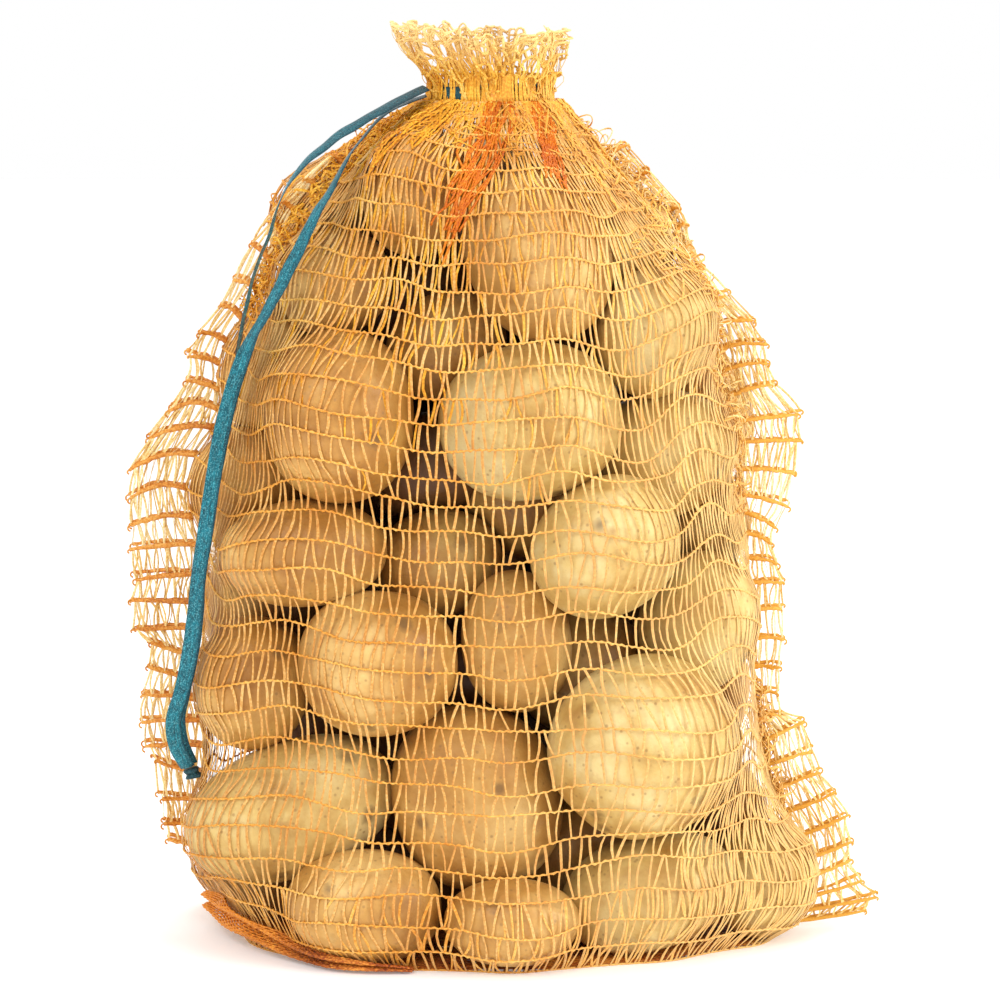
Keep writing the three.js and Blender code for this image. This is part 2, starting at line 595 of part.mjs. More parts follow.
const sack = new THREE.Group();
const cloth = new THREE.Group();
const contents = new THREE.Group();
const drawTape = new THREE.Group();
cloth.add(
  netBody(),
  mouthFrill(),
  sideFrill("left_frill", -1, 3),
  sideFrill("right_frill", 1, 1),
  bottomHem(),
);
contents.add(...potatoes.map(potatoMesh));
drawTape.add(
  neckTie(),
  tapeStrand("tape_back_strand", BACK_STRAND),
  tapeStrand("tape_front_strand", FRONT_STRAND),
  tapeSeal(),
);
sack.add(cloth, contents, drawTape);

export default sack;
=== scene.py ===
# %% [markdown]
# # A mesh sack of potatoes, standing upright
#
# The sack is a tube of knitted plastic net, gathered at the top by a flat blue draw tape. Its shape is
# the shape of what is in it: the net is pulled tight over the potatoes and bridges the hollows between
# them. So this lesson goes from the inside out. It measures the potatoes of the CAD frame, dresses them,
# stretches a surface over them by calculation, and then lays every yarn of the net on that surface.

# %% Tools and the frame
import math

import bpy
import numpy as np
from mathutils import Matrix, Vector


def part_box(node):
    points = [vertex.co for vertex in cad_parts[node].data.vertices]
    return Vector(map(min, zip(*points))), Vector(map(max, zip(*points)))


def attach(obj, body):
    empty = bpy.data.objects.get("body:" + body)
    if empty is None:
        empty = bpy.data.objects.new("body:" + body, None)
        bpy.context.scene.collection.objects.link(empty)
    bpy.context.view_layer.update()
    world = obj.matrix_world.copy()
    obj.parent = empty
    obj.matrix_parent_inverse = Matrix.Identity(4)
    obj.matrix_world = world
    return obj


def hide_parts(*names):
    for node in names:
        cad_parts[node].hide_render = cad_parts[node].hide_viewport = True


MM = 0.001
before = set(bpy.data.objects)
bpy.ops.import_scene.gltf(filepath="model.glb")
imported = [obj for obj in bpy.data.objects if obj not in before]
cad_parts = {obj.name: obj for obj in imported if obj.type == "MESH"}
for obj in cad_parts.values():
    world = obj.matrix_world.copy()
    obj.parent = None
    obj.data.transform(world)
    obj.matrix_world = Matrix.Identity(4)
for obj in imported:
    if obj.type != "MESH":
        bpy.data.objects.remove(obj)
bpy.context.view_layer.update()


def placed(name, data):
    """A new object with that data, in the scene."""
    made = bpy.data.objects.new(name, data)
    bpy.context.scene.collection.objects.link(made)
    return made


# %% [markdown]
# ## The camera
#
# The photograph was taken a little above the middle of the sack with a long lens, so the upright edges
# hardly lean together. A camera nearly two metres away with a narrow view gives the same look.

# %% The camera
CAMERA_PLACE = np.array([0.005, -1.9, 0.5])
CAMERA_AIM = np.array([0.005, 0.0, 0.220])
LENS_MM, SENSOR_MM = 138.2, 36

camera = placed("camera", bpy.data.cameras.new("camera"))
camera.data.lens = LENS_MM
camera.data.sensor_width = SENSOR_MM
camera.location = CAMERA_PLACE
camera.rotation_euler = Vector(CAMERA_AIM - CAMERA_PLACE).to_track_quat("-Z", "Y").to_euler()
bpy.context.scene.camera = camera


def in_picture(points):
    """Pixel of each point in the 1000 x 1000 image: its offset to the right and downwards from the line
    of sight, over its depth along it, times the lens over the sensor."""
    ahead = (CAMERA_AIM - CAMERA_PLACE) / np.linalg.norm(CAMERA_AIM - CAMERA_PLACE)
    right = np.cross(ahead, [0, 0, 1.0])
    right /= np.linalg.norm(right)
    down = np.cross(ahead, right)
    offset = np.asarray(points) - CAMERA_PLACE
    scale = 1000 * LENS_MM / SENSOR_MM / (offset @ ahead)
    return np.stack([500 + scale * (offset @ right), 500 + scale * (offset @ down)], -1)


# %% [markdown]
# ## From arrays to meshes
#
# Every new piece below is a set of points worked out with numpy. Two helpers turn such arrays into
# pieces: one puts points and faces into a mesh in one go, the other carries a small section along many
# paths at once, which is how yarns, cords and tapes are made.

# %% Points and faces to a piece
pieces_made = []


def piece(name, points, faces, finish, slot, replaces=(), uv=None, deep=None, smooth=True):
    """A shaded mesh of the points (n, 3), none of them below the floor. faces is a list of (m, corners)
    arrays of point numbers, uv an optional list of (m, corners, 2) arrays, one for each, and deep an
    optional value at each point, which its finish can read. Flat film isn't smoothed over its edges."""
    mesh = bpy.data.meshes.new(name)
    points = np.array(points, float).reshape(-1, 3)
    points[:, 2] = np.maximum(points[:, 2], 0.05 * MM)
    corners = np.concatenate([f.ravel() for f in faces]).astype(np.int32)
    sizes = np.concatenate([np.full(len(f), f.shape[1]) for f in faces])
    mesh.vertices.add(len(points))
    mesh.vertices.foreach_set("co", points.ravel())
    mesh.loops.add(len(corners))
    mesh.loops.foreach_set("vertex_index", corners)
    mesh.polygons.add(len(sizes))
    mesh.polygons.foreach_set("loop_start", (np.cumsum(sizes) - sizes).astype(np.int32))
    mesh.update(calc_edges=True)
    mesh.polygons.foreach_set("use_smooth", np.full(len(sizes), smooth))
    if uv is not None:
        layer = mesh.uv_layers.new(name="UVMap")
        layer.data.foreach_set("uv", np.concatenate([u.reshape(-1, 2) for u in uv]).ravel())
    if deep is not None:
        depth = mesh.attributes.new("deep", "FLOAT", "POINT")
        depth.data.foreach_set("value", np.ascontiguousarray(deep, np.float32))
    mesh.materials.append(finish)
    made = placed(name, mesh)
    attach(made, "root")
    if replaces:
        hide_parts(*replaces)
    pieces_made.append((name, int((sizes - 2).sum())))
    return made


# %% A section carried along paths
def unit(vectors):
    """Each vector divided by its own length."""
    return vectors / np.maximum(np.linalg.norm(vectors, axis=-1, keepdims=True), 1e-12)


def tube_faces(paths, rings, sides, closed):
    """Quads between neighbouring rings of every path, and a cap at each end of the open ones."""
    start = (np.arange(paths) * rings * sides)[:, None, None]
    ring = (np.arange(rings if closed else rings - 1) * sides)[None, :, None]
    after = (ring + sides) % (rings * sides)
    side = np.arange(sides)[None, None, :]
    turn = (side + 1) % sides
    quads = np.stack([start + ring + side, start + after + side,
                      start + after + turn, start + ring + turn], -1).reshape(-1, 4)
    if closed:
        return [quads]
    first = start[:, 0] + np.arange(sides)[None, :]
    last = start[:, 0] + (rings - 1) * sides + np.arange(sides)[::-1][None, :]
    return [quads, first, last]


def carried(paths, lift, wide, thick, sides=4, closed=False):
    """An oval section of so many corners, half `wide` across and half `thick` along `lift`, set square
    on every point of paths (k, n, 3). Corner: path + across * wide * cos(a) + lift * thick * sin(a)."""
    if closed:
        along = np.roll(paths, -1, 1) - np.roll(paths, 1, 1)
    else:
        along = np.gradient(paths, axis=1)
    along = unit(along)
    across = unit(np.cross(along, lift))
    lift = np.cross(across, along)
    turn = np.arange(sides) * 2 * np.pi / sides
    wide = np.broadcast_to(wide, paths.shape[:2])[..., None, None]
    thick = np.broadcast_to(thick, paths.shape[:2])[..., None, None]
    points = (paths[:, :, None] + across[:, :, None] * wide * np.cos(turn)[:, None]
              + lift[:, :, None] * thick * np.sin(turn)[:, None])
    return points.reshape(-1, 3), tube_faces(len(paths), paths.shape[1], sides, closed)


def facing_out(points, faces):
    """The same faces, turned round where they face inwards: then the sum of a . (b x c) over the first
    three corners of each side, which is six times a volume, is less than nothing."""
    a, b, c = (points[faces[0][:, k]] for k in range(3))
    return [f[:, ::-1] for f in faces] if (a * np.cross(b, c)).sum() < 0 else faces


def joined(parts):
    """Several (points, faces) pairs as one: the faces of each count on from the points before it."""
    points, faces, count = [], [], 0
    for its_points, its_faces in parts:
        points.append(its_points)
        faces += [f + count for f in its_faces]
        count += len(its_points)
    return np.concatenate(points), faces


# %% A smooth line, a smooth step and other short formulas
def curve_through(points, count):
    """Cubic pieces that pass through every point and share its slope, sampled at `count` even steps of
    the distance along the points."""
    points = np.asarray(points, float)
    step = np.linalg.norm(np.diff(points, axis=0), axis=1)
    at = np.concatenate([[0], np.cumsum(step)])
    slope = np.gradient(points, at, axis=0)
    along = np.linspace(0, at[-1], count)
    i = np.clip(np.searchsorted(at, along, side="right") - 1, 0, len(step) - 1)
    u, h = ((along - at[i]) / step[i])[:, None], step[i][:, None]
    return ((1 + 2 * u) * (1 - u) ** 2 * points[i] + u * (1 - u) ** 2 * h * slope[i]
            + u * u * (3 - 2 * u) * points[i + 1] + u * u * (u - 1) * h * slope[i + 1])


def smooth_step(value, low, high):
    """0 below low, 1 above high, and an even S between them: 3t^2 - 2t^3."""
    t = np.clip((value - low) / (high - low), 0, 1)
    return t * t * (3 - 2 * t)


def mix(first, last, share):
    """From first to last by a share: first * (1 - share) + last * share."""
    return first * (1 - share) + last * share


def stacked(*values):
    """Values of several shapes, spread over each other and put side by side in a last axis."""
    return np.stack(np.broadcast_arrays(*values), -1)


def oval(angle, half_x, half_y):
    """Distance from the middle of an ellipse to its edge: 1 / sqrt((cos/half_x)^2 + (sin/half_y)^2)."""
    return 1 / np.sqrt((np.cos(angle) / half_x) ** 2 + (np.sin(angle) / half_y) ** 2)


# %% [markdown]
# ## Finishes
#
# The yarn is slit plastic film, so it is glossy and a little lighter where it is pulled thin. The tape
# is the same kind of film in blue, drawn lengthwise into fine ribs. A washed potato has a thin, dry
# skin: a satin base in several earthy tones, small brown pores, and a few dark eyes. Where it lies deep
# between other potatoes its colour is darkened towards dark brown as painted shade, by the attribute
# "deep".

# %% Helpers for node materials
def new_finish(name, roughness, specular, coat=0.0):
    """A material with a principled shader whose plain values are set on its own sockets."""
    finish = bpy.data.materials.new(name)
    finish.use_nodes = True
    shader = finish.node_tree.nodes["Principled BSDF"]
    shader.inputs["Roughness"].default_value = roughness
    shader.inputs["Specular IOR Level"].default_value = specular
    shader.inputs["Coat Weight"].default_value = coat
    return finish, finish.node_tree, shader


def add(tree, kind, values=(), **settings):
    """A node of that kind with its settings, and its inputs by name or number."""
    node = tree.nodes.new(kind)
    for key, value in settings.items():
        setattr(node, key, value)
    for key, value in dict(values).items():
        if isinstance(value, bpy.types.NodeSocket):
            tree.links.new(value, node.inputs[key])
        else:
            node.inputs[key].default_value = value
    return node


def ramp(tree, factor, stops):
    """A colour ramp through (place, colour) stops."""
    node = add(tree, "ShaderNodeValToRGB", {"Fac": factor})
    for i, (place, colour) in enumerate(stops):
        stop = node.color_ramp.elements[i] if i < 2 else node.color_ramp.elements.new(place)
        stop.position = place
        stop.color = (*colour, 1)
    return node.outputs["Color"]


def blend(tree, factor, first, second):
    """Two colours blended by a factor. The colour sockets of this node are numbers 6 and 7, and 2 out."""
    return add(tree, "ShaderNodeMix", {0: factor, 6: first, 7: second}, data_type="RGBA").outputs[2]


def tinted(tree, colour, tint, value, low, high, at_low, at_high):
    """The colour turned towards the tint: by the share at_low where the value is low, by at_high where it
    is high, and evenly between them."""
    settings = {"Value": value, "From Min": low, "From Max": high, "To Min": at_low, "To Max": at_high}
    return blend(tree, add(tree, "ShaderNodeMapRange", settings).outputs[0], colour, (*tint, 1))


def noise(tree, place, scale, detail, roughness=0.5):
    """Smooth noise with lumps of about one over the scale, and so many finer octaves."""
    settings = {"Vector": place, "Scale": scale, "Detail": detail, "Roughness": roughness}
    return add(tree, "ShaderNodeTexNoise", settings)


def maths(tree, operation, first, second):
    """One sum or product of two values."""
    return add(tree, "ShaderNodeMath", {0: first, 1: second}, operation=operation).outputs[0]


def bumps(tree, shader, layers):
    """Bumps of (height, strength, distance) over each other, the last one into the shader's normal."""
    under = {}
    for height, strength, distance in layers:
        settings = {"Strength": strength, "Distance": distance, "Height": height, **under}
        under = {"Normal": add(tree, "ShaderNodeBump", settings).outputs[0]}
    tree.links.new(under["Normal"], shader.inputs["Normal"])


# %% Yarn
def yarn_finish(name, dark, middle, light, change=None):
    """Film yarn: its tone drifts over centimetres and flickers over a millimetre, as film does where it
    folds and catches the light. change, when given, is (axis, from, to, share, colour): between those two
    places in metres along that axis, the tone turns by up to that share towards that colour."""
    finish, tree, shader = new_finish(name, 0.4, 0.28)
    place = add(tree, "ShaderNodeTexCoord").outputs["Object"]
    drift = noise(tree, place, 38, 2).outputs["Fac"]
    flicker = noise(tree, place, 900, 1).outputs["Fac"]
    tone = maths(tree, "MULTIPLY", maths(tree, "ADD", drift, flicker), 0.5)
    colour = ramp(tree, tone, [(0.36, dark), (0.64, light), (0.5, middle)])
    if change is not None:
        axis, start, end, most, tint = change
        level = add(tree, "ShaderNodeSeparateXYZ", {"Vector": place}).outputs[axis]
        colour = tinted(tree, colour, tint, level, start, end, 0.0, most)
    tree.links.new(colour, shader.inputs["Base Color"])
    bumps(tree, shader, [(flicker, 0.35, 0.0003)])
    return finish


X, Z = 0, 2
# painted light: strand, chain and cone yarns are painted paler towards the more strongly lit right side,
# by up to 0.45 between x = -0.02 and 0.13 m
PAINTED_LIGHT_TO_THE_RIGHT = (X, -0.02, 0.13, 0.45, (0.90, 0.66, 0.27))
STRAND_YARN = yarn_finish("strand_yarn", (0.54, 0.21, 0.035), (0.65, 0.32, 0.075), (0.77, 0.47, 0.16),
                          PAINTED_LIGHT_TO_THE_RIGHT)
CHAIN_YARN = yarn_finish("chain_yarn", (0.60, 0.215, 0.02), (0.76, 0.345, 0.05), (0.86, 0.51, 0.12),
                         PAINTED_LIGHT_TO_THE_RIGHT)
CONE_YARN = yarn_finish("cone_yarn", (0.53, 0.17, 0.005), (0.73, 0.32, 0.014), (0.86, 0.50, 0.055),
                        PAINTED_LIGHT_TO_THE_RIGHT)
MOUTH_YARN = yarn_finish("mouth_yarn", (0.58, 0.25, 0.019), (0.75, 0.41, 0.048), (0.87, 0.61, 0.15),
                         (Z, 0.434, 0.456, 0.75, (0.90, 0.70, 0.34)))
# painted light: the right frill is painted lighter, by up to 0.6 between x = 0 and 0.16 m, as on the more
# strongly lit right side
FRILL_YARN = yarn_finish("frill_yarn", (0.46, 0.13, 0.012), (0.70, 0.26, 0.03), (0.86, 0.46, 0.11),
                         (X, 0.0, 0.16, 0.6, (0.76, 0.42, 0.05)))
PALE_YARN = yarn_finish("pale_yarn", (0.74, 0.42, 0.10), (0.86, 0.62, 0.24), (0.94, 0.80, 0.48))
FOLD_YARN = yarn_finish("fold_yarn", (0.42, 0.07, 0.002), (0.60, 0.14, 0.004), (0.74, 0.25, 0.012))
SEAM_YARN = yarn_finish("seam_yarn", (0.14, 0.02, 0.003), (0.44, 0.10, 0.010), (0.82, 0.34, 0.05),
                        (X, -0.08, -0.145, 0.8, (0.85, 0.30, 0.02)))

# %% Draw tape
def tape_finish():
    """Blue film with lengthwise ribs from the piece's own map (u runs across the tape, v along it), short
    cross creases where it has been bent, fine painted highlights that glint, one edge darkened as painted
    shade, and the upper end darkened as painted shade."""
    finish, tree, shader = new_finish("draw_tape", 0.3, 0.26, 0.05)
    chart = add(tree, "ShaderNodeUVMap", uv_map="UVMap").outputs["UV"]
    ribs = add(tree, "ShaderNodeMapping", {"Vector": chart, "Scale": (60, 8, 1)}).outputs[0]
    creases = add(tree, "ShaderNodeMapping", {"Vector": chart, "Scale": (7, 150, 1)}).outputs[0]
    rib, crease = noise(tree, ribs, 1, 2), noise(tree, creases, 1, 3)
    tone = blend(tree, 0.45, rib.outputs["Color"], crease.outputs["Color"])
    colour = ramp(tree, tone, [(0.38, (0.001, 0.024, 0.032)), (0.68, (0.07, 0.50, 0.60)),
                               (0.49, (0.002, 0.10, 0.135)), (0.58, (0.006, 0.20, 0.26))])
    place = add(tree, "ShaderNodeTexCoord").outputs["Object"]
    painted_glints = noise(tree, place, 1500, 1).outputs["Fac"]
    across, along, _ = add(tree, "ShaderNodeSeparateXYZ", {"Vector": chart}).outputs
    # painted highlight: fine specks turned towards light cyan
    colour = tinted(tree, colour, (0.22, 0.72, 0.80), painted_glints, 0.5, 0.75, 0.0, 0.45)
    # painted shade: darkened along one edge, from 0.74 to 0.97 of the way across
    colour = tinted(tree, colour, (0.002, 0.03, 0.05), across, 0.74, 0.97, 0.0, 0.7)
    # painted shade: darkened at the upper end of the strands, most at v = 0.02 and fading out by v = 0.24
    colour = tinted(tree, colour, (0.004, 0.018, 0.024), along, 0.02, 0.24, 0.75, 0.0)
    tree.links.new(colour, shader.inputs["Base Color"])
    bumps(tree, shader, [(rib.outputs["Fac"], 0.5, 0.0004), (crease.outputs["Fac"], 0.7, 0.0012)])
    return finish


TAPE_FILM = tape_finish()

# %% Potato skin
def skin_finish(name, dark, middle, light, offset):
    """Washed skin: broad earthy patches, rough brown scurf, small corky pores, a few sunken brown eyes,
    and a fine dry grain that the light catches. The offset gives each skin a pattern of its own."""
    finish, tree, shader = new_finish(name, 0.44, 0.42)
    object_place = add(tree, "ShaderNodeTexCoord").outputs["Object"]
    place = add(tree, "ShaderNodeMapping", {"Vector": object_place, "Location": offset}).outputs[0]
    patches = noise(tree, place, 22, 5, 0.6).outputs["Fac"]
    scurf = noise(tree, place, 75, 4, 0.7).outputs["Fac"]
    grain = noise(tree, place, 420, 3).outputs["Fac"]
    pores, eyes = (add(tree, "ShaderNodeTexVoronoi", {"Vector": place, "Scale": scale}).outputs["Distance"]
                   for scale in (210, 27))
    eyes = maths(tree, "MULTIPLY", eyes, scurf)
    colour = ramp(tree, patches, [(0.36, dark), (0.65, light), (0.5, middle)])
    colour = tinted(tree, colour, (0.50, 0.26, 0.09), scurf, 0.55, 0.75, 0.0, 0.6)
    colour = tinted(tree, colour, (0.33, 0.17, 0.05), pores, 0.10, 0.22, 0.6, 0.0)
    colour = tinted(tree, colour, (0.16, 0.085, 0.03), eyes, 0.03, 0.07, 0.7, 0.0)
    # painted shade: where the attribute deep is high, the skin colour is blended towards dark brown, as
    # shade between the potatoes
    deep = add(tree, "ShaderNodeAttribute", attribute_name="deep").outputs["Fac"]
    colour = blend(tree, deep, colour, (0.105, 0.036, 0.010, 1))
    tree.links.new(colour, shader.inputs["Base Color"])
    bumps(tree, shader, [(grain, 0.25, 0.0006), (patches, 0.35, 0.002), (eyes, 0.8, 0.0016)])
    return finish


GOLDEN, PALE, RUDDY = (
    skin_finish("skin_golden", (0.41, 0.182, 0.032), (0.57, 0.302, 0.07), (0.74, 0.49, 0.17), (0, 0, 0)),
    skin_finish("skin_pale", (0.49, 0.265, 0.056), (0.67, 0.46, 0.145), (0.785, 0.64, 0.295), (3, 1, 2)),
    skin_finish("skin_ruddy", (0.365, 0.152, 0.022), (0.52, 0.253, 0.05), (0.69, 0.43, 0.12), (5, 4, 1)))
# numbers of the potatoes that show pale and ruddy in the photograph; the others are golden
PALE_POTATOES = (2, 7, 8, 9, 10, 16, 17, 19, 21, 22, 25, 29, 35, 41, 46)
RUDDY_POTATOES = (1, 4, 6, 12, 15, 24, 31, 33, 39, 44, 47)

# %% [markdown]
# ## The two free ends of the draw tape
#
# The tape goes round the neck inside the net, comes out at the front left and hangs down the side as two
# strands, fused at their ends. It is 8 mm of thin film, so it bends easily across its flat and twists
# where it can't. Each strand is a thin, slightly cupped section carried along its route, and a table of
# twists turns it edge-on where the photograph shows a thin line.

# %% Routes of the strands
# points from the neck to the end of each strand, x, y and z in millimetres
BACK_ROUTE = MM * np.array([
    [-31, -20, 426], [-40, -24, 422], [-48, -27, 418], [-56, -30, 414], [-64, -32, 409],
    [-71, -33, 405], [-79, -34, 399], [-87, -34, 393], [-95, -36, 384], [-102, -38, 371],
    [-107, -38, 356], [-114, -38, 338], [-119, -40, 319], [-122, -41, 303], [-124, -42, 287],
    [-128, -44, 267], [-133, -46, 242], [-138, -48, 217], [-141, -47, 192], [-144, -45, 168],
    [-147, -44, 148], [-151, -42, 131], [-154, -39, 117], [-153, -35, 104], [-149, -31, 92]])
FRONT_ROUTE = MM * np.array([
    [-31, -15, 422], [-42, -16, 418], [-53, -20, 412], [-61, -25, 403], [-70, -36, 391],
    [-77, -46, 378], [-84, -53, 366], [-90, -56, 354], [-96, -57, 342], [-102, -57, 330],
    [-109, -55, 318], [-115, -53, 307], [-122, -51, 290], [-129, -49, 266], [-134, -50, 241],
    [-138, -51, 216], [-142, -50, 192], [-145, -48, 167], [-148, -47, 147], [-152, -46, 130],
    [-156, -43, 116], [-155, -39, 103], [-150, -35, 91]])
TAPE_WIDTH = 8 * MM
TAPE_FACING = unit(np.array([-0.3, -1, 0.1]))
# turn of the flat side about the route, in degrees, at shares of the length
BACK_TWIST = [(0, 50), (0.12, 45), (0.2, 55), (0.27, 80), (0.6, 84), (0.7, 40), (0.8, 10), (1, 0)]
FRONT_TWIST = [(0, 70), (0.14, 60), (0.24, 35), (0.32, 20), (0.40, 42), (0.46, -10), (0.56, -22), (0.7, 0),
               (0.86, -12), (0.93, -30), (1, 0)]


def tape_piece(name, points, across, along, replaces, closed=False):
    """A piece of tape from points (rings, corners, 3). On its map a corner of a ring is at u = across,
    and the whole ring at v = along."""
    rings, corners = points.shape[:2]
    faces = facing_out(points.reshape(-1, 3), tube_faces(1, rings, corners, closed))
    chart = stacked(across[None, :], along[:, None]).reshape(-1, 2)
    return piece(name, points, faces, TAPE_FILM, "tape", [replaces], [chart[f] for f in faces])


def tape_strand(name, route, twist, replaces):
    """A cupped flat section carried along the route. At the share u = -1 to 1 across it, its middle is
    0.45 (1 - u^2) - 0.15 mm off the route and its half thickness is 0.18 (1 - u^6 / 2) mm. It is turned
    about the route by the twist, and small waves crease it."""
    line = curve_through(route, 220)
    along = unit(np.gradient(line, axis=0))
    across = unit(np.cross(TAPE_FACING, along))
    face = np.cross(along, across)
    share = np.linspace(0, 1, len(line))
    angle = np.radians(np.interp(share, *zip(*twist)))[:, None]
    cos, sin = np.cos(angle), np.sin(angle)
    across, face = cos * across + sin * face, cos * face - sin * across
    u = np.linspace(-1, 1, 9)
    cup = (0.45 * (1 - u**2) - 0.15) * MM
    body = 0.18 * MM * (1 - 0.5 * u**6)
    outline = np.concatenate([np.stack([u, cup + body], 1), np.stack([u, cup - body], 1)[::-1]])
    crease = 0.18 * MM * (np.sin(share * 61) + 0.7 * np.sin(share * 143 + 1))[:, None, None]
    half = TAPE_WIDTH / 2 * (1 - 0.05 * np.sin(share * 23) ** 2)[:, None, None]
    points = (line[:, None] + across[:, None] * outline[None, :, :1] * half
              + face[:, None] * (outline[None, :, 1:] + crease * outline[None, :, :1] ** 2))
    strand = tape_piece(name, points, outline[:, 0] / 2 + 0.5, share, replaces)
    length = float(np.linalg.norm(np.diff(line, axis=0), axis=1).sum())
    print(name, "is", round(length * 1000), "mm long")
    return strand, line, length


back_strand, back_line, back_length = tape_strand("back_strand", BACK_ROUTE, BACK_TWIST,
                                                  "tape_back_strand")
front_strand, front_line, front_length = tape_strand("front_strand", FRONT_ROUTE, FRONT_TWIST,
                                                     "tape_front_strand")

# %% [markdown]
# The ends are fused by heat into a thick, slightly flared lump. It is a soft-cornered section whose
# width and thickness change down its 6 mm: wide at the cut, pinched in the middle.

# %% The fused end
def fused_end():
    """Rings down the tape's own direction. A ring's corner is at cos and sin to the power 0.6, which
    gives a rounded oblong, times the half width and half thickness at that level."""
    low, high = (np.array(corner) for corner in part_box("tape_seal"))
    middle = (low + high) / 2
    down = unit(front_line[-1] - front_line[-12])
    across = unit(np.cross(TAPE_FACING, down))
    face = np.cross(down, across)
    level = np.linspace(-1, 1, 15)
    half_wide = MM * (3.9 - 0.5 * np.cos(level * 3) + 0.7 * smooth_step(level, 0.1, 1))
    half_thick = MM * (2.3 - 0.9 * np.exp(-((level - 0.1) / 0.3) ** 2) - 0.7 * smooth_step(level, 0.4, 1))
    shut = np.sqrt(np.clip(1 - level**10, 0.05, 1))
    turn = np.arange(20) * 2 * np.pi / 20
    cos, sin = np.cos(turn), np.sin(turn)
    corner = np.stack([np.sign(cos) * abs(cos) ** 0.6, np.sign(sin) * abs(sin) ** 0.6], -1)
    points = (middle + down * (level * 3 * MM)[:, None, None]
              + across * (half_wide * shut)[:, None, None] * corner[None, :, :1]
              + face * (half_thick * shut)[:, None, None] * corner[None, :, 1:])
    # its map v stays near 0, so the tape finish gives it the full darkening of the strands' upper ends
    return tape_piece("fused_end", points, corner[:, 0] / 2 + 0.5, level * 0.01, "tape_seal")


seal = fused_end()

# %% [markdown]
# ## The potatoes
#
# Each potato stands where the CAD frame has it. Its centre, direction and three sizes are measured from
# the CAD mesh, both for its own skin and for the net that is stretched over it.

# %% Measure the potatoes
POTATO_NODES = sorted(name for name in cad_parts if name.startswith("potato_"))


def measured(node):
    """Centre, directions and half sizes. The plain form has its poles along y, and its long direction in
    the x-z plane is the one in which its corners spread most. Across that, the corners of its ten-sided
    rings reach only 0.951 of the half size, which is the sine of 72 degrees."""
    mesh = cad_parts[node].data
    corners = np.empty(len(mesh.vertices) * 3)
    mesh.vertices.foreach_get("co", corners)
    corners = np.unique(np.round(corners.reshape(-1, 3), 6), axis=0)
    centre = corners.mean(0)
    level = (corners - centre)[:, [0, 2]]
    _, directions = np.linalg.eigh(level.T @ level)
    reach = abs(level @ directions).max(0)
    long_way = np.array([directions[0, 1], 0, directions[1, 1]])
    half = np.array([reach[1], abs(corners[:, 1] - centre[1]).max(), reach[0] / 0.951])
    return centre, np.stack([long_way, [0, 1.0, 0], np.cross(long_way, [0, 1.0, 0])]), half


POTATOES = [measured(node) for node in POTATO_NODES]
# the potato under the right shoulder is drawn smaller and lower, so that the net falls straight past it
shoulder = POTATO_NODES.index("potato_08")
centre, axes, half = POTATOES[shoulder]
POTATOES[shoulder] = (centre - np.array([5, 0, 6.5]) * MM, axes, 0.88 * half)
print(len(POTATOES), "potatoes, from", round(min(2000 * h.min() for _, _, h in POTATOES)), "to",
      round(max(2000 * h.max() for _, _, h in POTATOES)), "mm")

# %% [markdown]
# ## The surface that the net lies on
#
# A tight net touches the potatoes where they stand out and spans the hollows between them. That surface
# is found by relaxing: start far out, let every point go to the mean of its four neighbours, and never
# let it go inside a potato. Rays from the sack's middle line number the points: `turn` goes round, and
# `down` runs from the neck (0) to the floor (1) and on below the sack to its bottom seam (2).

# %% Reach of the potatoes on each ray
TURNS, LEVELS, BELOW = 360, 250, 26
LEFT_SEAM, RIGHT_SEAM = 0.5, 1.0  # the turns of the two side seams; the front lies between them
OFF_POTATOES = 0.9 * MM
NECK_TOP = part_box("neck_tie")[1].z + 0.3 * MM
NECK_FOOT = NECK_TOP - 9 * MM
MOUTH_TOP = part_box("mouth_frill")[1].z
NECK_OVAL = np.array([31, 23]) * MM
GIRTH_OVAL = np.array([165, 95]) * MM
turn_at = np.arange(TURNS) * 2 * np.pi / TURNS
ray = np.stack([GIRTH_OVAL[0] * np.cos(turn_at), GIRTH_OVAL[1] * np.sin(turn_at)], -1)
height_at = np.linspace(NECK_FOOT, 0.4 * MM, LEVELS)


def reach_on_rays():
    """Largest share s of a ray that is inside a potato grown by the net's distance from it. A point
    s * ray at height z is inside while |M (s * ray, z) - M c| < 1, which is a quadratic in s."""
    reach = np.zeros((TURNS, LEVELS))
    for centre, axes, half in POTATOES:
        scale = axes / (half + OFF_POTATOES)[:, None]
        a = np.concatenate([ray, np.zeros((TURNS, 1))], 1) @ scale.T
        b = np.stack([np.zeros(LEVELS), np.zeros(LEVELS), height_at], 1) @ scale.T - scale @ centre
        aa, ab, bb = (a * a).sum(1)[:, None], a @ b.T, (b * b).sum(1)[None, :]
        root = ab**2 - aa * (bb - 1)
        reach = np.maximum(reach, np.where(root > 0, (np.sqrt(np.maximum(root, 0)) - ab) / aa, 0))
    return reach


reach = reach_on_rays()
neck_share = 1 / np.sqrt((ray[:, 0] / NECK_OVAL[0]) ** 2 + (ray[:, 1] / NECK_OVAL[1]) ** 2)
least = np.maximum(reach, neck_share[:, None])
least[:, 0] = neck_share

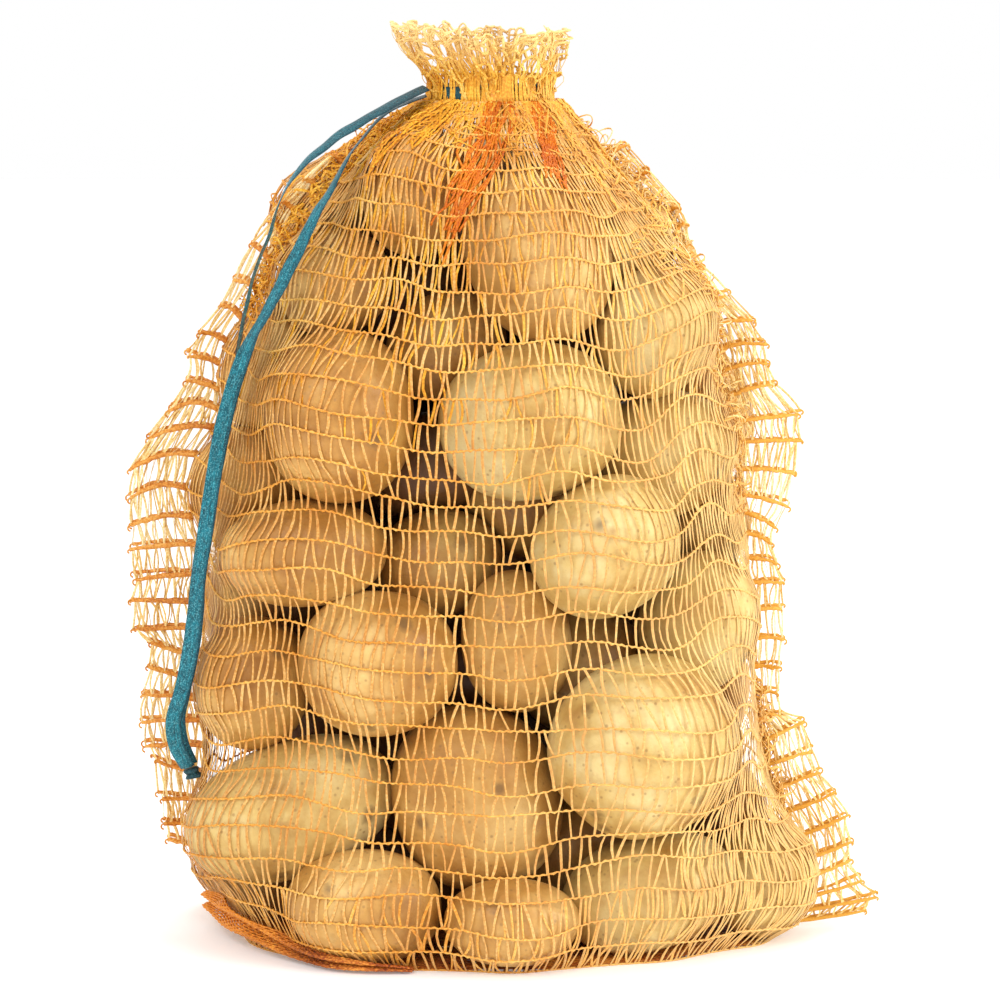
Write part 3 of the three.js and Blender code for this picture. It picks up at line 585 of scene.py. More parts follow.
# %% Let the net relax onto them
def relaxed(share, foot):
    """Every point takes a mean of its neighbours, but no less than `least`. Beside it that is a straight
    chord: the cosine of the step times their mean. Far neighbours come first and near ones last, which
    settles the wide spans quickly. The lowest row is held at `foot`, if it is given."""
    for stride, rounds in ((24, 50), (12, 60), (6, 80), (3, 120), (1, 160)):
        chord = math.cos(2 * np.pi * stride / TURNS)
        for _ in range(rounds):
            beside = chord * (np.roll(share, stride, 0) + np.roll(share, -stride, 0)) / 2
            above = np.concatenate([share[:, :1].repeat(stride, 1), share[:, :-stride]], 1)
            under = np.concatenate([share[:, stride:], share[:, -1:].repeat(stride, 1)], 1)
            share = np.maximum(least, 0.55 * beside + 0.45 * (above + under) / 2)
            share[:, 0] = neck_share
            if foot is not None:
                share[:, -1] = foot
    return share


ANKLE_HEIGHT = 30 * MM
hanging = relaxed(np.maximum(least, 0.6), None)
ankle = hanging[:, np.argmin(abs(height_at - ANKLE_HEIGHT))]
share = relaxed(hanging, 0.86 * ankle)  # the net turns in at the floor, where the potatoes are round
touching = float((share <= least + 1e-4).mean())
print("net surface touches potatoes over", round(100 * touching), "per cent")

# %% The surface as one grid of points
pleat_wave = np.cos(14 * turn_at)[:, None]  # 14 shallow pleats fan out below the neck
pleating = smooth_step(height_at, NECK_FOOT - 0.13, NECK_FOOT)[None, :]
oval_radius = np.linalg.norm(ray, axis=1)[:, None]
share = share + (1.9 * MM * pleating * (1 + pleat_wave)) / oval_radius
body_points = stacked(share * ray[:, :1], share * ray[:, 1:], height_at[None, :])
# under the sack the net runs inwards, flat on the floor, to the bottom seam that joins the two sides
inward = np.linspace(0, 1, BELOW + 1)[1:]
foot = body_points[:, -1]
under_x = foot[:, :1] * (1 - 0.22 * inward**2)
under_y = foot[:, 1:2] * (1 - 0.99 * inward)
under_points = stacked(under_x, under_y, 0.5 * MM)
net_grid = np.concatenate([body_points, under_points], 1)
fall = np.linalg.norm(np.diff(body_points, axis=1), axis=-1)
fall = np.concatenate([np.zeros((TURNS, 1)), np.cumsum(fall, 1)], 1)
even = np.linspace(0, 1, LEVELS)
for i in range(TURNS):  # each meridian is resampled at even steps of its own length
    at = fall[i] / fall[i, -1]
    net_grid[i, :LEVELS] = np.stack([np.interp(even, at, body_points[i, :, k]) for k in range(3)], -1)
print("length from neck to floor:", fall[:, -1].min().round(3), "to", fall[:, -1].max().round(3))

round_grid = np.roll(net_grid, -1, 0) - np.roll(net_grid, 1, 0)
net_normal = unit(np.cross(round_grid, -np.gradient(net_grid, axis=1)))


def between(grid, column, row):
    """Value of a grid between its points, at fractional columns round it and rows down it: the mean of
    the nearest four, weighted by the nearness of each."""
    i, j = np.floor(column).astype(int) % TURNS, np.floor(row).astype(int)
    k = (i + 1) % TURNS
    deeper = (...,) + (None,) * (grid.ndim - 2)
    u, v = (column - np.floor(column))[deeper], (row - j)[deeper]
    return ((1 - u) * (1 - v) * grid[i, j] + u * (1 - v) * grid[k, j]
            + (1 - u) * v * grid[i, j + 1] + u * v * grid[k, j + 1])


def on_net(turn, down, lift=0.0):
    """Point and outward direction of the surface at shares of a turn and of the way down (0 to 2), lifted
    off it by `lift`."""
    column = (np.asarray(turn) % 1) * TURNS
    down = np.asarray(down, float)
    row = np.where(down < 1, down * (LEVELS - 1), LEVELS - 1 + (down - 1) * BELOW)
    row = np.clip(row, 0, net_grid.shape[1] - 1.001)
    normal = unit(between(net_normal, column, row))
    return between(net_grid, column, row) + normal * np.asarray(lift)[..., None], normal


# %% [markdown]
# ## The potatoes' skins
#
# A rounder, uneven form replaces each plain potato: a ball of points, pulled out to its sizes, with
# broad lumps. Potatoes from the same field grow into all forms, and the ones inside the heap are taken
# as the knobbly ones: where nothing is beside them they swell by a few millimetres into the hollow.

# %% Depth below the net
def below_net(points):
    """Distance inwards from the net's surface: (its share of the ray - the point's own share) times the
    length of that ray."""
    x, y = points[:, 0] / GIRTH_OVAL[0], points[:, 1] / GIRTH_OVAL[1]
    column = (np.arctan2(y, x) / (2 * np.pi)) % 1 * TURNS
    row = np.clip((NECK_FOOT - points[:, 2]) / (NECK_FOOT - height_at[-1]), 0, 0.9999) * (LEVELS - 1)
    own = np.hypot(x, y)
    away = np.linalg.norm(points[:, :2], axis=1) / np.maximum(own, 0.05)
    return (between(share, column, row) - own) * away


def room_beyond(number, points):
    """How far each point may go straight out before it meets another potato: the nearer root of the
    quadratic |M (c + t d - c')| = 1 for every neighbour, less the point's own distance. It is at most
    0.8 of the way to where the point would be 2.5 mm below the net."""
    centre = POTATOES[number][0]
    out = points - centre
    radius = np.linalg.norm(out, axis=1)
    out = out / radius[:, None]
    free = np.full(len(points), 1.0)
    for other, (its_centre, axes, half) in enumerate(POTATOES):
        if other != number:
            scale = axes / (half + 0.3 * MM)[:, None]
            d, o = out @ scale.T, scale @ (centre - its_centre)
            dd, do = (d * d).sum(1), d @ o
            root = do**2 - dd * (o @ o - 1)
            hit = (-do - np.sqrt(np.maximum(root, 0))) / dd
            free = np.where((root > 0) & (hit > 0), np.minimum(free, hit - radius), free)
    return np.minimum(free, 0.8 * (below_net(points) - 2.5 * MM)), out


# %% A ball of points
def ball(around, rings):
    """Directions on a sphere: rings round the long way, and one pole at each end."""
    down = np.arange(1, rings)[:, None] * np.pi / rings
    turn = np.arange(around)[None, :] * 2 * np.pi / around
    flat = np.sin(down)
    circle = stacked(np.cos(down), flat * np.cos(turn), flat * np.sin(turn))
    directions = np.concatenate([circle.reshape(-1, 3), [[1.0, 0, 0], [-1.0, 0, 0]]])
    ring = (np.arange(rings - 2) * around)[:, None]
    side = np.arange(around)[None, :]
    turn = (side + 1) % around
    after = ring + around
    quads = np.stack([ring + side, after + side, after + turn, ring + turn], -1).reshape(-1, 4)
    side, turn, last = side[0], turn[0], (rings - 2) * around
    near, far = np.full(around, len(directions) - 2), np.full(around, len(directions) - 1)
    caps = [np.stack([near, side, turn], -1), np.stack([far, last + turn, last + side], -1)]
    return directions, [quads, *caps]


def evened(values, around):
    """Values on the ball's points, each at first the least of its neighbours and then their mean."""
    grid, poles = values[:-2].reshape(-1, around), values[-2:]
    for round_number in range(5):
        above = np.concatenate([grid[:1], grid[:-1]])
        under = np.concatenate([grid[1:], grid[-1:]])
        beside = np.stack([grid, above, under, np.roll(grid, 1, 1), np.roll(grid, -1, 1)])
        grid = beside.min(0) if round_number == 0 else beside.mean(0)
    return np.concatenate([grid.ravel(), np.minimum(poles, [grid[0].mean(), grid[-1].mean()])])


# %% Grow an uneven skin on each
INNER_FROM = -12 * MM  # a potato whose centre is behind this y is an inner one
FRONT_ROW_TO = -28 * MM  # one that reaches in front of this y shows clearly, so it gets less painted shade
MOST_SWELLING = 6 * MM


def potato(number, node):
    """radius = 1.015 - lumps - hollows. The lumps are a mean of slow cosine waves across the ball, scaled
    to take away 0 to 6 per cent, and each hollow is a bell-shaped dip of 2 per cent. The power of 0.94
    makes the oval a little blunter. Inner potatoes then swell outwards into the room beyond them. Deep is
    painted shade, from 16 to 44 mm below the net, and strongest on the inner rows."""
    rng = np.random.default_rng(100 + number)
    centre, axes, half = POTATOES[number]
    inner = centre[1] > INNER_FROM
    around, rings = (44, 30) if inner else (60, 40)
    directions, faces = ball(around, rings)
    waves = unit(rng.normal(size=(7, 3))) * rng.uniform(1.3, 3.4, (7, 1))
    lumps = np.cos(directions @ waves.T + rng.uniform(0, 6.28, 7)).mean(1)
    lumps = (lumps - lumps.min()) / (lumps.max() - lumps.min())
    eyes = unit(rng.normal(size=(6, 3)))
    hollows = np.exp(-((np.arccos(np.clip(directions @ eyes.T, -1, 1)) / 0.2) ** 2)).sum(1)
    radius = 1.015 - 0.06 * lumps - 0.02 * hollows
    blunt = np.sign(directions) * abs(directions) ** 0.94
    points = centre + (blunt * half * radius[:, None]) @ axes
    if inner:
        free, out = room_beyond(number, points)
        points = points + out * evened(np.clip(0.85 * free, 0, MOST_SWELLING), around)[:, None]
    # painted shade: the darkening grows with depth below the net, up to 0.3 on front potatoes and 0.9 on
    # the others
    shade = 0.3 if points[:, 1].min() < FRONT_ROW_TO else 0.9
    deep = shade * smooth_step(below_net(points), 16 * MM, 44 * MM)
    if np.linalg.det(axes) < 0:
        faces = [f[:, ::-1] for f in faces]
    finish = PALE if number + 1 in PALE_POTATOES else RUDDY if number + 1 in RUDDY_POTATOES else GOLDEN
    return piece(node.replace("potato", "skin"), points, faces, finish, "potato", [node], deep=deep)


potatoes = [potato(i, node) for i, node in enumerate(POTATO_NODES)]
outward = np.mean([p.normal.dot(p.center - Vector(POTATOES[0][0])) > 0 for p in potatoes[0].data.polygons])
print("potato faces that point outwards:", round(float(outward), 3))

# %% [markdown]
# ## The knitted net
#
# The net is a warp knit: rows of fine chain stitches lie about 13 mm apart, level round the sack, and
# single flat strands run up and down between them, every other one leaning the other way. Below the sack
# the rows go on to the bottom seam. Chains are thin tubes with a knot where each strand leaves them, and
# strands are flat film, a little twisted. Both lie on the surface found above.

# %% Chains
ROWS = 34
PERIODS = 98
STRANDS = 2 * PERIODS
rng = np.random.default_rng(11)
row_down = (np.arange(ROWS + 1) / ROWS) ** 1.1
below_down = 1 + np.array([0.1, 0.21, 0.32, 0.44, 0.56, 0.68, 0.8, 0.9])
all_rows = np.concatenate([row_down, below_down])
FILM = 0.16 * MM  # half the thickness of the flat strands, which are drawn thicker than real film
row_phase = rng.uniform(0, 6.28, (len(all_rows), 3))


def row_wander(turn, row):
    """How far a row strays up or down, as a share of the way down: three slow waves of its own."""
    phase = row_phase[row]
    size = 0.0021 * smooth_step(all_rows[row], 0.0, 0.08) * (all_rows[row] < 1)
    angle = 2 * np.pi * turn
    return size * (np.sin(3 * angle + phase[..., 0]) + np.sin(7 * angle + phase[..., 1])
                   + 0.7 * np.sin(17 * angle + phase[..., 2]))


def chain_rows(rows, first_turn, last_turn, name, per_strand=3, sides=5):
    """Every row as a slim tube: thick at the knots where strands leave it, thinner between them, and
    stepping a quarter of a millimetre up and down like the stitches of a chain."""
    count = int(round((last_turn - first_turn) * STRANDS)) * per_strand + 1
    turn = np.linspace(first_turn, last_turn, count)[None, :].repeat(len(rows), 0)
    row = np.array(rows)[:, None].repeat(count, 1)
    knot = np.cos(np.pi * np.arange(count) * 2 / per_strand)[None, :]
    down = all_rows[row] + row_wander(turn, row)
    wobble = rng.normal(0, 0.10 * MM, turn.shape)
    path, normal = on_net(turn, np.clip(down, 0, 1.99), 0.75 * MM + 0 * turn)
    path[..., 2] += 0.22 * MM * np.cos(np.pi * np.arange(count))[None, :] + wobble
    path[..., 2] = np.maximum(path[..., 2], 0.5 * MM)
    radius = (0.56 + 0.18 * knot + rng.normal(0, 0.06, turn.shape)) * MM
    points, faces = carried(path, normal, radius, radius, sides=sides)
    return piece(name, points, faces, CHAIN_YARN, "net")


chain_rows(range(1, len(all_rows)), LEFT_SEAM, RIGHT_SEAM, "front_chains")
chain_rows(range(1, len(all_rows)), 0.0, LEFT_SEAM, "back_chains", per_strand=2, sides=4)

# %% Strands
def strand_rows(first, last, offset=0.5, rows=None, sunk=0.0, wild=1.0, from_row=0, kept=(1, 1)):
    """Flat strands between neighbouring rows. Each starts just beside its place on the upper row and ends
    beside it on the lower one, alternately to the left and the right, so they lean in turn. How uneven
    they are goes with `wild`, and how far inside the net they lie is `sunk`, in millimetres. The share
    of them kept goes from kept[0] on the first row to kept[1] on the last."""
    upper = np.arange(from_row, len(all_rows) - 1 if rows is None else rows)[:, None]
    number = np.arange(first, last)[None, :]
    lean = 0.15 + wild * rng.normal(0, 0.12, (len(upper), number.shape[1]))
    lean = lean * np.where(number % 2 == 0, 1, -1)
    middle = number + offset + wild * rng.normal(0, 0.08, lean.shape)
    top, bottom = (middle - lean) / STRANDS, (middle + lean) / STRANDS
    step = np.linspace(0, 1, 4)[None, None, :]
    turn = mix(top[..., None], bottom[..., None], step)
    turn = turn + wild * rng.normal(0, 0.10, lean.shape)[..., None] * np.sin(np.pi * step) / STRANDS
    start = all_rows[upper] + row_wander(top, upper + 0 * number)
    end = all_rows[upper + 1] + row_wander(bottom, upper + 1 + 0 * number)
    down = mix(start[..., None], end[..., None], step)
    lift = (0.35 + 0.35 * abs(2 * step - 1) ** 2 - sunk) * MM + 0 * down
    path, normal = on_net(turn, np.clip(down, 0, 1.99), lift)
    stay = rng.random(lean.shape) < np.linspace(*kept, len(upper))[:, None]
    flat, normal = path[stay], normal[stay]
    twist = rng.normal(0, 0.35, len(flat))[:, None, None] * np.linspace(-1, 1, 4)[None, :, None]
    sideways = np.cross(unit(np.gradient(flat, axis=1)), normal)
    facing = unit(normal * np.cos(twist) + sideways * np.sin(twist))
    wide = (0.56 + rng.uniform(-0.14, 0.18, len(flat)))[:, None] * MM
    return carried(flat, facing, wide, FILM)


piece("front_strands", *strand_rows(PERIODS, STRANDS), STRAND_YARN, "net", ["net_body"], smooth=False)
piece("back_strands", *strand_rows(0, PERIODS), STRAND_YARN, "net", smooth=False)

# %% [markdown]
# Towards the neck the net is gathered from 800 mm to 170 mm, so it doubles up: a second layer of strands
# lies just inside the first, and some of the spare width stands out as rolled folds that run down from
# the tape. The two widest are the dark orange ones at the front.

# %% Doubled net and folds below the neck
def fold(turn_top, turn_foot, down_foot, half_width, height, count):
    """Yarns of uneven length side by side over a round ridge that runs down from the tape, its measures
    in millimetres. Yarn k is at the share q = -1 to 1 across it, where the ridge is
    height * (1 - q^2)^0.7 high. The ridge is widest at 0.45 of its length."""
    along = np.linspace(0, 1, 34)[None, :]
    across = np.linspace(-1, 1, count)[:, None]
    size = np.interp(along, [0, 0.12, 0.45, 1], [0.55, 0.8, 1.0, 0.45])
    middle, _ = on_net(turn_top + (turn_foot - turn_top) * along[0], down_foot * along[0])
    girth = 2 * np.pi * np.linalg.norm(middle[:, :2], axis=1)
    turn = turn_top + (turn_foot - turn_top) * along + across * half_width * MM * size / girth
    turn = turn + rng.normal(0, 1, (count, 1)) * 0.9 * MM * np.sin(along * 11 + across * 3) / girth
    reach = down_foot * along * rng.uniform(0.7, 1.1, (count, 1))
    weave = 0.35 * MM * np.sin(along * 90 + across * 9) + rng.normal(0, 0.15 * MM, turn.shape)
    lift = 0.6 * MM + height * MM * size * (1 - across**2) ** 0.7 + weave
    path, normal = on_net(turn, reach, lift)
    return carried(path, normal, 0.62 * MM, 0.45 * MM)


def gather():
    """Yarns drawn together at the neck: upright lines all round it, in two depths. Each bows a little to
    one side, and below the tape it goes on down the cone, just over the net, for up to 30 mm."""
    count = 210
    turn = (np.arange(count)[:, None] + rng.normal(0, 0.35, (count, 1))) / count
    step = np.linspace(0, 1, 6)[None, :]
    turn = turn + rng.normal(0, 0.004, (count, 1)) * np.sin(np.pi * step)
    angle = 2 * np.pi * turn
    inset = rng.choice([0.2, 1.4], (count, 1)) + 0.6 * np.cos(23 * angle) - 2.2 * (step - 0.5) ** 2
    radius = oval(angle, *NECK_OVAL) - mix(inset, -0.8, step) * MM
    neck = stacked(radius * np.cos(angle), radius * np.sin(angle), NECK_FOOT + 13 * MM * (1 - step))
    reach = rng.uniform(0.01, 0.06, (count, 1)) * np.linspace(0.15, 1, 6)[None, :]
    stray = rng.normal(0, 0.006, (count, 1)) * np.linspace(0, 1, 6)[None, :] ** 1.5
    cone, normal = on_net(turn[:, -1:] + stray, reach, (0.9 - 0.7 * reach / 0.06) * MM)
    path = np.concatenate([neck, cone], 1)
    away = np.concatenate([unit(neck * [1, 1, 0]), normal], 1)
    return carried(path, away, rng.uniform(0.5, 0.8, (count, 1)) * MM, 0.4 * MM)


# first and last strand, their offset, number of rows, sunk, wild
doubled = [strand_rows(PERIODS, STRANDS, 0.0, 17, 0.7, 2.0, kept=(1.2, 0.1)),
           strand_rows(0, PERIODS, 0.0, 11, 0.7, 2.0, kept=(1.2, 0.1)), gather()]
piece("doubled_net", *joined(doubled), CONE_YARN, "net", smooth=False)
# turn at the tape and at the foot, share of the way down, half width, height, number of yarns
dark_folds = [fold(*row) for row in (
    (0.768, 0.724, 0.155, 4.8, 0.4, 12), (0.757, 0.718, 0.19, 3.4, 0.1, 8),
    (0.850, 0.800, 0.10, 4.0, 0.3, 10), (0.842, 0.806, 0.13, 3.0, 0.1, 8))]
piece("dark_folds", *joined(dark_folds), FOLD_YARN, "net")
# turn at the tape, lean towards the foot, share of the way down, half width
light_folds = [fold(t, t + lean, d, w, 0.55 * w, 7) for t, lean, d, w in (
    (0.665, -0.015, 0.13, 3.6), (0.69, -0.01, 0.10, 3), (0.86, 0.008, 0.14, 3.6), (0.885, 0.012, 0.10, 3),
    (0.93, 0.02, 0.12, 3.6), (0.01, 0.01, 0.10, 3), (0.05, -0.01, 0.15, 4), (0.10, 0.01, 0.10, 3),
    (0.15, 0.015, 0.13, 3.6), (0.21, 0.005, 0.10, 3), (0.27, -0.008, 0.16, 4), (0.33, 0.01, 0.11, 3),
    (0.38, 0.01, 0.13, 3.4), (0.45, -0.01, 0.10, 3), (0.55, -0.005, 0.12, 3.4), (0.61, -0.01, 0.11, 3))]
piece("light_folds", *joined(light_folds), CONE_YARN, "net", smooth=False)

# %% [markdown]
# At the foot the net is doubled too, where it turns under the lowest potatoes towards the bottom seam, and
# so it is along the right seam. Under the potatoes the spare net below that seam lies folded flat, as
# many yarns close together on the floor.

# %% Doubled net at the foot
def folded_base():
    """Yarns from the left rim of the foot to its right rim, at even depths from front to back: yarn k
    joins the rim's points at the turns 0.5 + a and 1 - a, with sin(2 pi a) = -0.97 to 0.97."""
    count = 96
    a = np.arcsin(np.linspace(-0.97, 0.97, count)) / (2 * np.pi)
    left, _ = on_net(LEFT_SEAM + a, np.ones(count))
    right, _ = on_net(RIGHT_SEAM - a, np.ones(count))
    step = np.linspace(0.015, 0.985, 14)[None, :, None]
    path = mix(left[:, None], right[:, None], step)
    path[..., 1] += rng.normal(0, 0.5 * MM, path.shape[:2])
    path[..., 2] = rng.uniform(0.55, 1.1, path.shape[:2]) * MM
    return carried(path, [0, 0, 1.0], 1.15 * MM, 0.4 * MM)


# first and last strand, their offset, last row, sunk, wild, first row, share kept
doubled_foot = [strand_rows(*row) for row in (
    (PERIODS, STRANDS, 0.0, None, 0.3, 1.6, ROWS - 3, (0.5, 1.2)),
    (0, PERIODS, 0.0, ROWS, 0.3, 1.6, ROWS - 2),
    (STRANDS - 12, STRANDS + 5, 0.0, ROWS - 2, 0.2, 1.6, 17),
    (STRANDS - 9, STRANDS + 5, 0.25, ROWS - 2, 0.9, 2.5, 21),
    (PERIODS - 3, PERIODS + 9, 0.0, ROWS - 2, 0.2, 1.6, 25),
    (STRANDS - 30, STRANDS - 9, 0.0, ROWS - 2, 0.3, 1.6, 27))]
piece("doubled_foot", *joined(doubled_foot), CHAIN_YARN, "net", smooth=False)
piece("folded_base", *folded_base(), SEAM_YARN, "net")

# %% [markdown]
# ## The gathered neck and mouth
#
# Above the tape the net opens again into a short ruffle. All 800 mm of its width are gathered into a
# neck of 170 mm, so it stands in deep, crumpled folds, and its cut edge is ragged. The folds are a radius
# that swings in and out with the turn, and the same chains and strands are laid on it, closer together.

# %% The ruffle
# how far the cut edge drops below its highest point, in millimetres, against the turn in degrees
EDGE_DROP = [(0, 3.6), (40, 5.5), (80, 3.5), (120, 2.0), (180, 0), (215, 1.0), (250, 4.0), (285, 7.5),
             (320, 5.0), (360, 3.6)]


def on_mouth(turn, up):
    """Oval that widens upwards and leans to the left, with 9 broad folds and 31 small ones that grow
    towards the cut edge. up is 0 at the foot of the neck and 1 at the edge."""
    angle = 2 * np.pi * np.asarray(turn)
    up = np.asarray(up, float)
    flare = np.sin(np.clip((up - 0.2) / 0.8, 0, 1) * np.pi / 2)
    wide = (30.0 + 7.0 * flare) * MM
    deep = (22.0 + 8.0 * flare) * MM
    swing = (1.2 + 3.4 * up) * np.cos(9 * angle + 1.3 * np.sin(3 * angle) + 1.5 * up)
    crumple = (0.5 + 1.5 * up) * np.cos(31 * angle + 2.1 * np.sin(5 * angle) + 7 * up)
    radius = oval(angle, wide, deep) + (swing + crumple) * MM
    drop = np.interp(np.degrees(angle) % 360, *zip(*EDGE_DROP))
    drop = drop + 0.9 * np.sin(11 * angle + 1) + 0.7 * np.sin(27 * angle)
    height = NECK_FOOT + (MOUTH_TOP + 1.5 * MM - NECK_FOOT) * up - np.maximum(drop, 0) * MM * up**1.5
    lean = -7.5 * MM * smooth_step(up, 0.15, 1.0) * (0.4 + 0.6 * smooth_step(-np.cos(angle), -0.6, 0.8))
    return np.stack([radius * np.cos(angle) + lean, radius * np.sin(angle), height], -1)


def outward_at(points):
    """Level direction away from an upright line 4 mm to the left of the sack's middle, because the mouth
    leans that way."""
    return unit(points * [1, 1, 0] + [4 * MM, 0, 0])


RISES = np.array([0.0, 0.13, 0.36, 0.58, 0.80, 0.99])


def mouth_rise(turn, row):
    """Height share of a row of the ruffle: it strays by a few millimetres in four waves of its own."""
    phase = np.random.default_rng(77).uniform(0, 6.28, (len(RISES), 4))[row]
    angle = 2 * np.pi * turn
    wander = sum(np.sin(n * angle + phase[..., i]) for i, n in enumerate((5, 9, 21, 35)))
    return np.clip(RISES[row] + 0.034 * wander * smooth_step(RISES[row], 0.0, 0.5), 0, 1.02)


def mouth_chains(steps=480):
    """A closed row of chain at every rise, in so many steps round."""
    row = np.arange(len(RISES))[:, None].repeat(steps, 1)
    turn = (np.arange(steps) / steps)[None, :].repeat(len(RISES), 0)
    path = on_mouth(turn, mouth_rise(turn, row))
    path += outward_at(path) * rng.normal(0, 0.35 * MM, (*turn.shape, 1))
    radius = (0.60 + rng.normal(0, 0.10, path.shape[:2])) * MM
    return carried(path, outward_at(path), radius, radius, sides=5, closed=True)


def mouth_strands(count=168):
    """Crumpled strands between those rows, drawn together in bunches, with holes between the bunches."""
    row = np.arange(len(RISES) - 1)[:, None, None]
    number = np.arange(count)[None, :, None]
    step = np.linspace(0, 1, 5)[None, None, :]
    place = (number + rng.normal(0, 0.3, (len(RISES) - 1, count, 1))) / count
    place = place + 0.0042 * np.sin(2 * np.pi * 41 * place + 1.7 * row)
    turn = place + rng.normal(0, 0.0048, place.shape) * (step - 0.5)
    row = row + 0 * number
    lower, upper = mouth_rise(turn[..., 0], row[..., 0]), mouth_rise(turn[..., -1], row[..., 0] + 1)
    path = on_mouth(turn, mix(lower[..., None], upper[..., None], step)).reshape(-1, 5, 3)
    bulge = rng.normal(0, 1.0, (len(path), 1, 1)) * np.sin(np.pi * step.reshape(1, 5, 1)) * MM
    path = path + outward_at(path) * bulge
    facing = unit(outward_at(path) + 0.5 * rng.normal(size=(len(path), 1, 3)))
    return carried(path, facing, rng.uniform(0.42, 0.75, (len(path), 1)) * MM, 0.17 * MM)


def edge_loops(count=110):
    """Loose loops of yarn that stand up from the cut edge: half waves in height between two feet."""
    start = rng.uniform(0, 1, (count, 1))
    span = rng.uniform(0.012, 0.05, (count, 1)) * rng.choice([-1, 1], (count, 1))
    step = np.linspace(0, 1, 9)[None, :]
    path = on_mouth(start + span * step, rng.uniform(0.75, 0.97, (count, 1)) + 0 * step)
    path[..., 2] += rng.uniform(0.5, 3.4, (count, 1)) * MM * np.sin(np.pi * step)
    path += outward_at(path) * rng.normal(0.3, 1.3, (count, 1, 1)) * MM * np.sin(np.pi * step)[..., None]
    return carried(path, outward_at(path), rng.uniform(0.32, 0.55, (count, 1)) * MM, 0.25 * MM)


piece("mouth_net", *joined([mouth_chains(), mouth_strands(), edge_loops()]), MOUTH_YARN, "net",
      ["mouth_frill"], smooth=False)

# %% [markdown]
# The tape itself runs round inside the gathers, so from outside it shows only between folds and at the
# front left, where its strands leave. It is a flat ring whose radius dips inwards everywhere else.

# %% The turn of tape in the neck
def tie_ring():
    """A flat section, 6.6 mm high, carried round the neck. Its radius is 4 mm less than the net's, and
    swells to just outside the net at the front left, where it is creased."""
    count, half_high = 160, 3.3 * MM
    angle = np.arange(count) * 2 * np.pi / count
    show = np.exp(-((np.angle(np.exp(1j * (angle - np.radians(230)))) / 0.45) ** 2))
    radius = oval(angle, 30.5 * MM, 22.5 * MM) + (-4.0 + 5.2 * show * (1 + 0.1 * np.cos(23 * angle))) * MM
    line = np.stack([radius * np.cos(angle), radius * np.sin(angle),
                     NECK_TOP - 4.6 * MM + 0.5 * MM * np.sin(3 * angle)], -1)
    u = np.linspace(-1, 1, 7)
    face = np.stack([u * half_high, 0.25 * MM + 0 * u], 1)
    outline = np.concatenate([face, (face * [1, -1])[::-1]])
    away = outward_at(line)
    points = line[:, None] + outline[None, :, :1] * [0, 0, 1.0] + away[:, None] * outline[None, :, 1:]
    across = outline[:, 0] / (2 * half_high) + 0.5
    # its map v is 0.06 all round, so the tape finish darkens the ring with the painted shade of the upper
    # end
    return tape_piece("tie_ring", points, across, np.full(count, 0.06), "neck_tie", closed=True)


tie_ring()

# %% [markdown]
# ## The side frills
#
# The sack is sewn up both sides, a few centimetres in from the edge of the net, and what is left outside
# the seams stands off as two loose frills. Their chain rows lie in pairs, one from the front net and one
# from the back, and curl into thick orange bars with pale strands between them. A table of heights and
# reaches gives each frill its outline, and the lowest part of the right one flares outwards.

# %% Bars of the frills
# a row for each bar, in millimetres: height of its foot, outer x, rise of the outer end, of the middle
LEFT_BARS = [(42, -163, 5, 0), (54, -165, 2, 0), (66, -166, 3, 1), (81, -168, 7, -1), (95, -175, 0, 1),
             (108, -176, -1, 1), (118, -176, 3, 1), (128, -172, 9, -1), (140, -171, 9, -1),
             (156, -179, -1, 0), (169, -182, 0, 0), (183, -179, -2, 1), (198, -180, -1, 1),
             (212, -180, -3, 2), (226, -180, -4, 4), (243, -179, -7, 4), (257, -171, -6, 3),
             (266, -160, 0, 4), (276, -151, 6, 1), (289, -149, 5, 1), (300, -144, 5, 1),
             (311, -134, 7, 2), (325, -127, 6, 2), (339, -117, 10, 1), (352, -107, 10, 0),
             (364, -99, 6, 1), (377, -84, 5, 1), (389, -70, 4, 1)]
RIGHT_BARS = [(3, 190, 6, -1), (7, 196, 10, -1), (14, 188, 12, -1), (25, 182, 10, -1),
              (36, 183, 10, -1), (47, 181, 13, -1), (60, 175, 13, -1), (72, 166, 10, 0),
              (85, 162, 8, 0), (97, 158, 10, 0), (110, 147, 1, 1), (122, 145, 1, 1), (136, 145, 1, 0),
              (150, 147, 0, 1), (164, 147, 1, 1), (178, 147, 0, 1), (191, 143, -2, 1),
              (204, 141, -5, 1), (214, 142, -6, 1), (223, 148, -5, 1), (236, 153, -2, 1),
              (249, 156, 1, 1), (260, 155, 3, 0), (272, 141, 7, 1), (284, 138, 6, 2), (295, 137, 5, 2),
              (306, 130, 5, 2), (317, 117, 6, 1), (331, 106, 6, 1), (341, 98, 5, 1), (355, 96, 4, 2),
              (364, 92, 4, 1), (379, 78, 7, 1), (392, 66, 6, 1)]
POINTS_ON_BAR, PLACES_ON_BAR = 13, 13
WAVES_UP_FRILL, FRILL_HEIGHT = 5.5, 0.43


def along_bars(bars, share):
    """Points on bars (k, n, 3) at shares (k, m) of their length, between the two nearest points."""
    last = bars.shape[1] - 1
    spot = np.clip(share, 0.02, 0.99) * last
    i = np.floor(spot).astype(int)
    part = (spot - i)[..., None]
    number = np.arange(len(bars))[:, None]
    return mix(bars[number, i], bars[number, np.minimum(i + 1, last)], part)


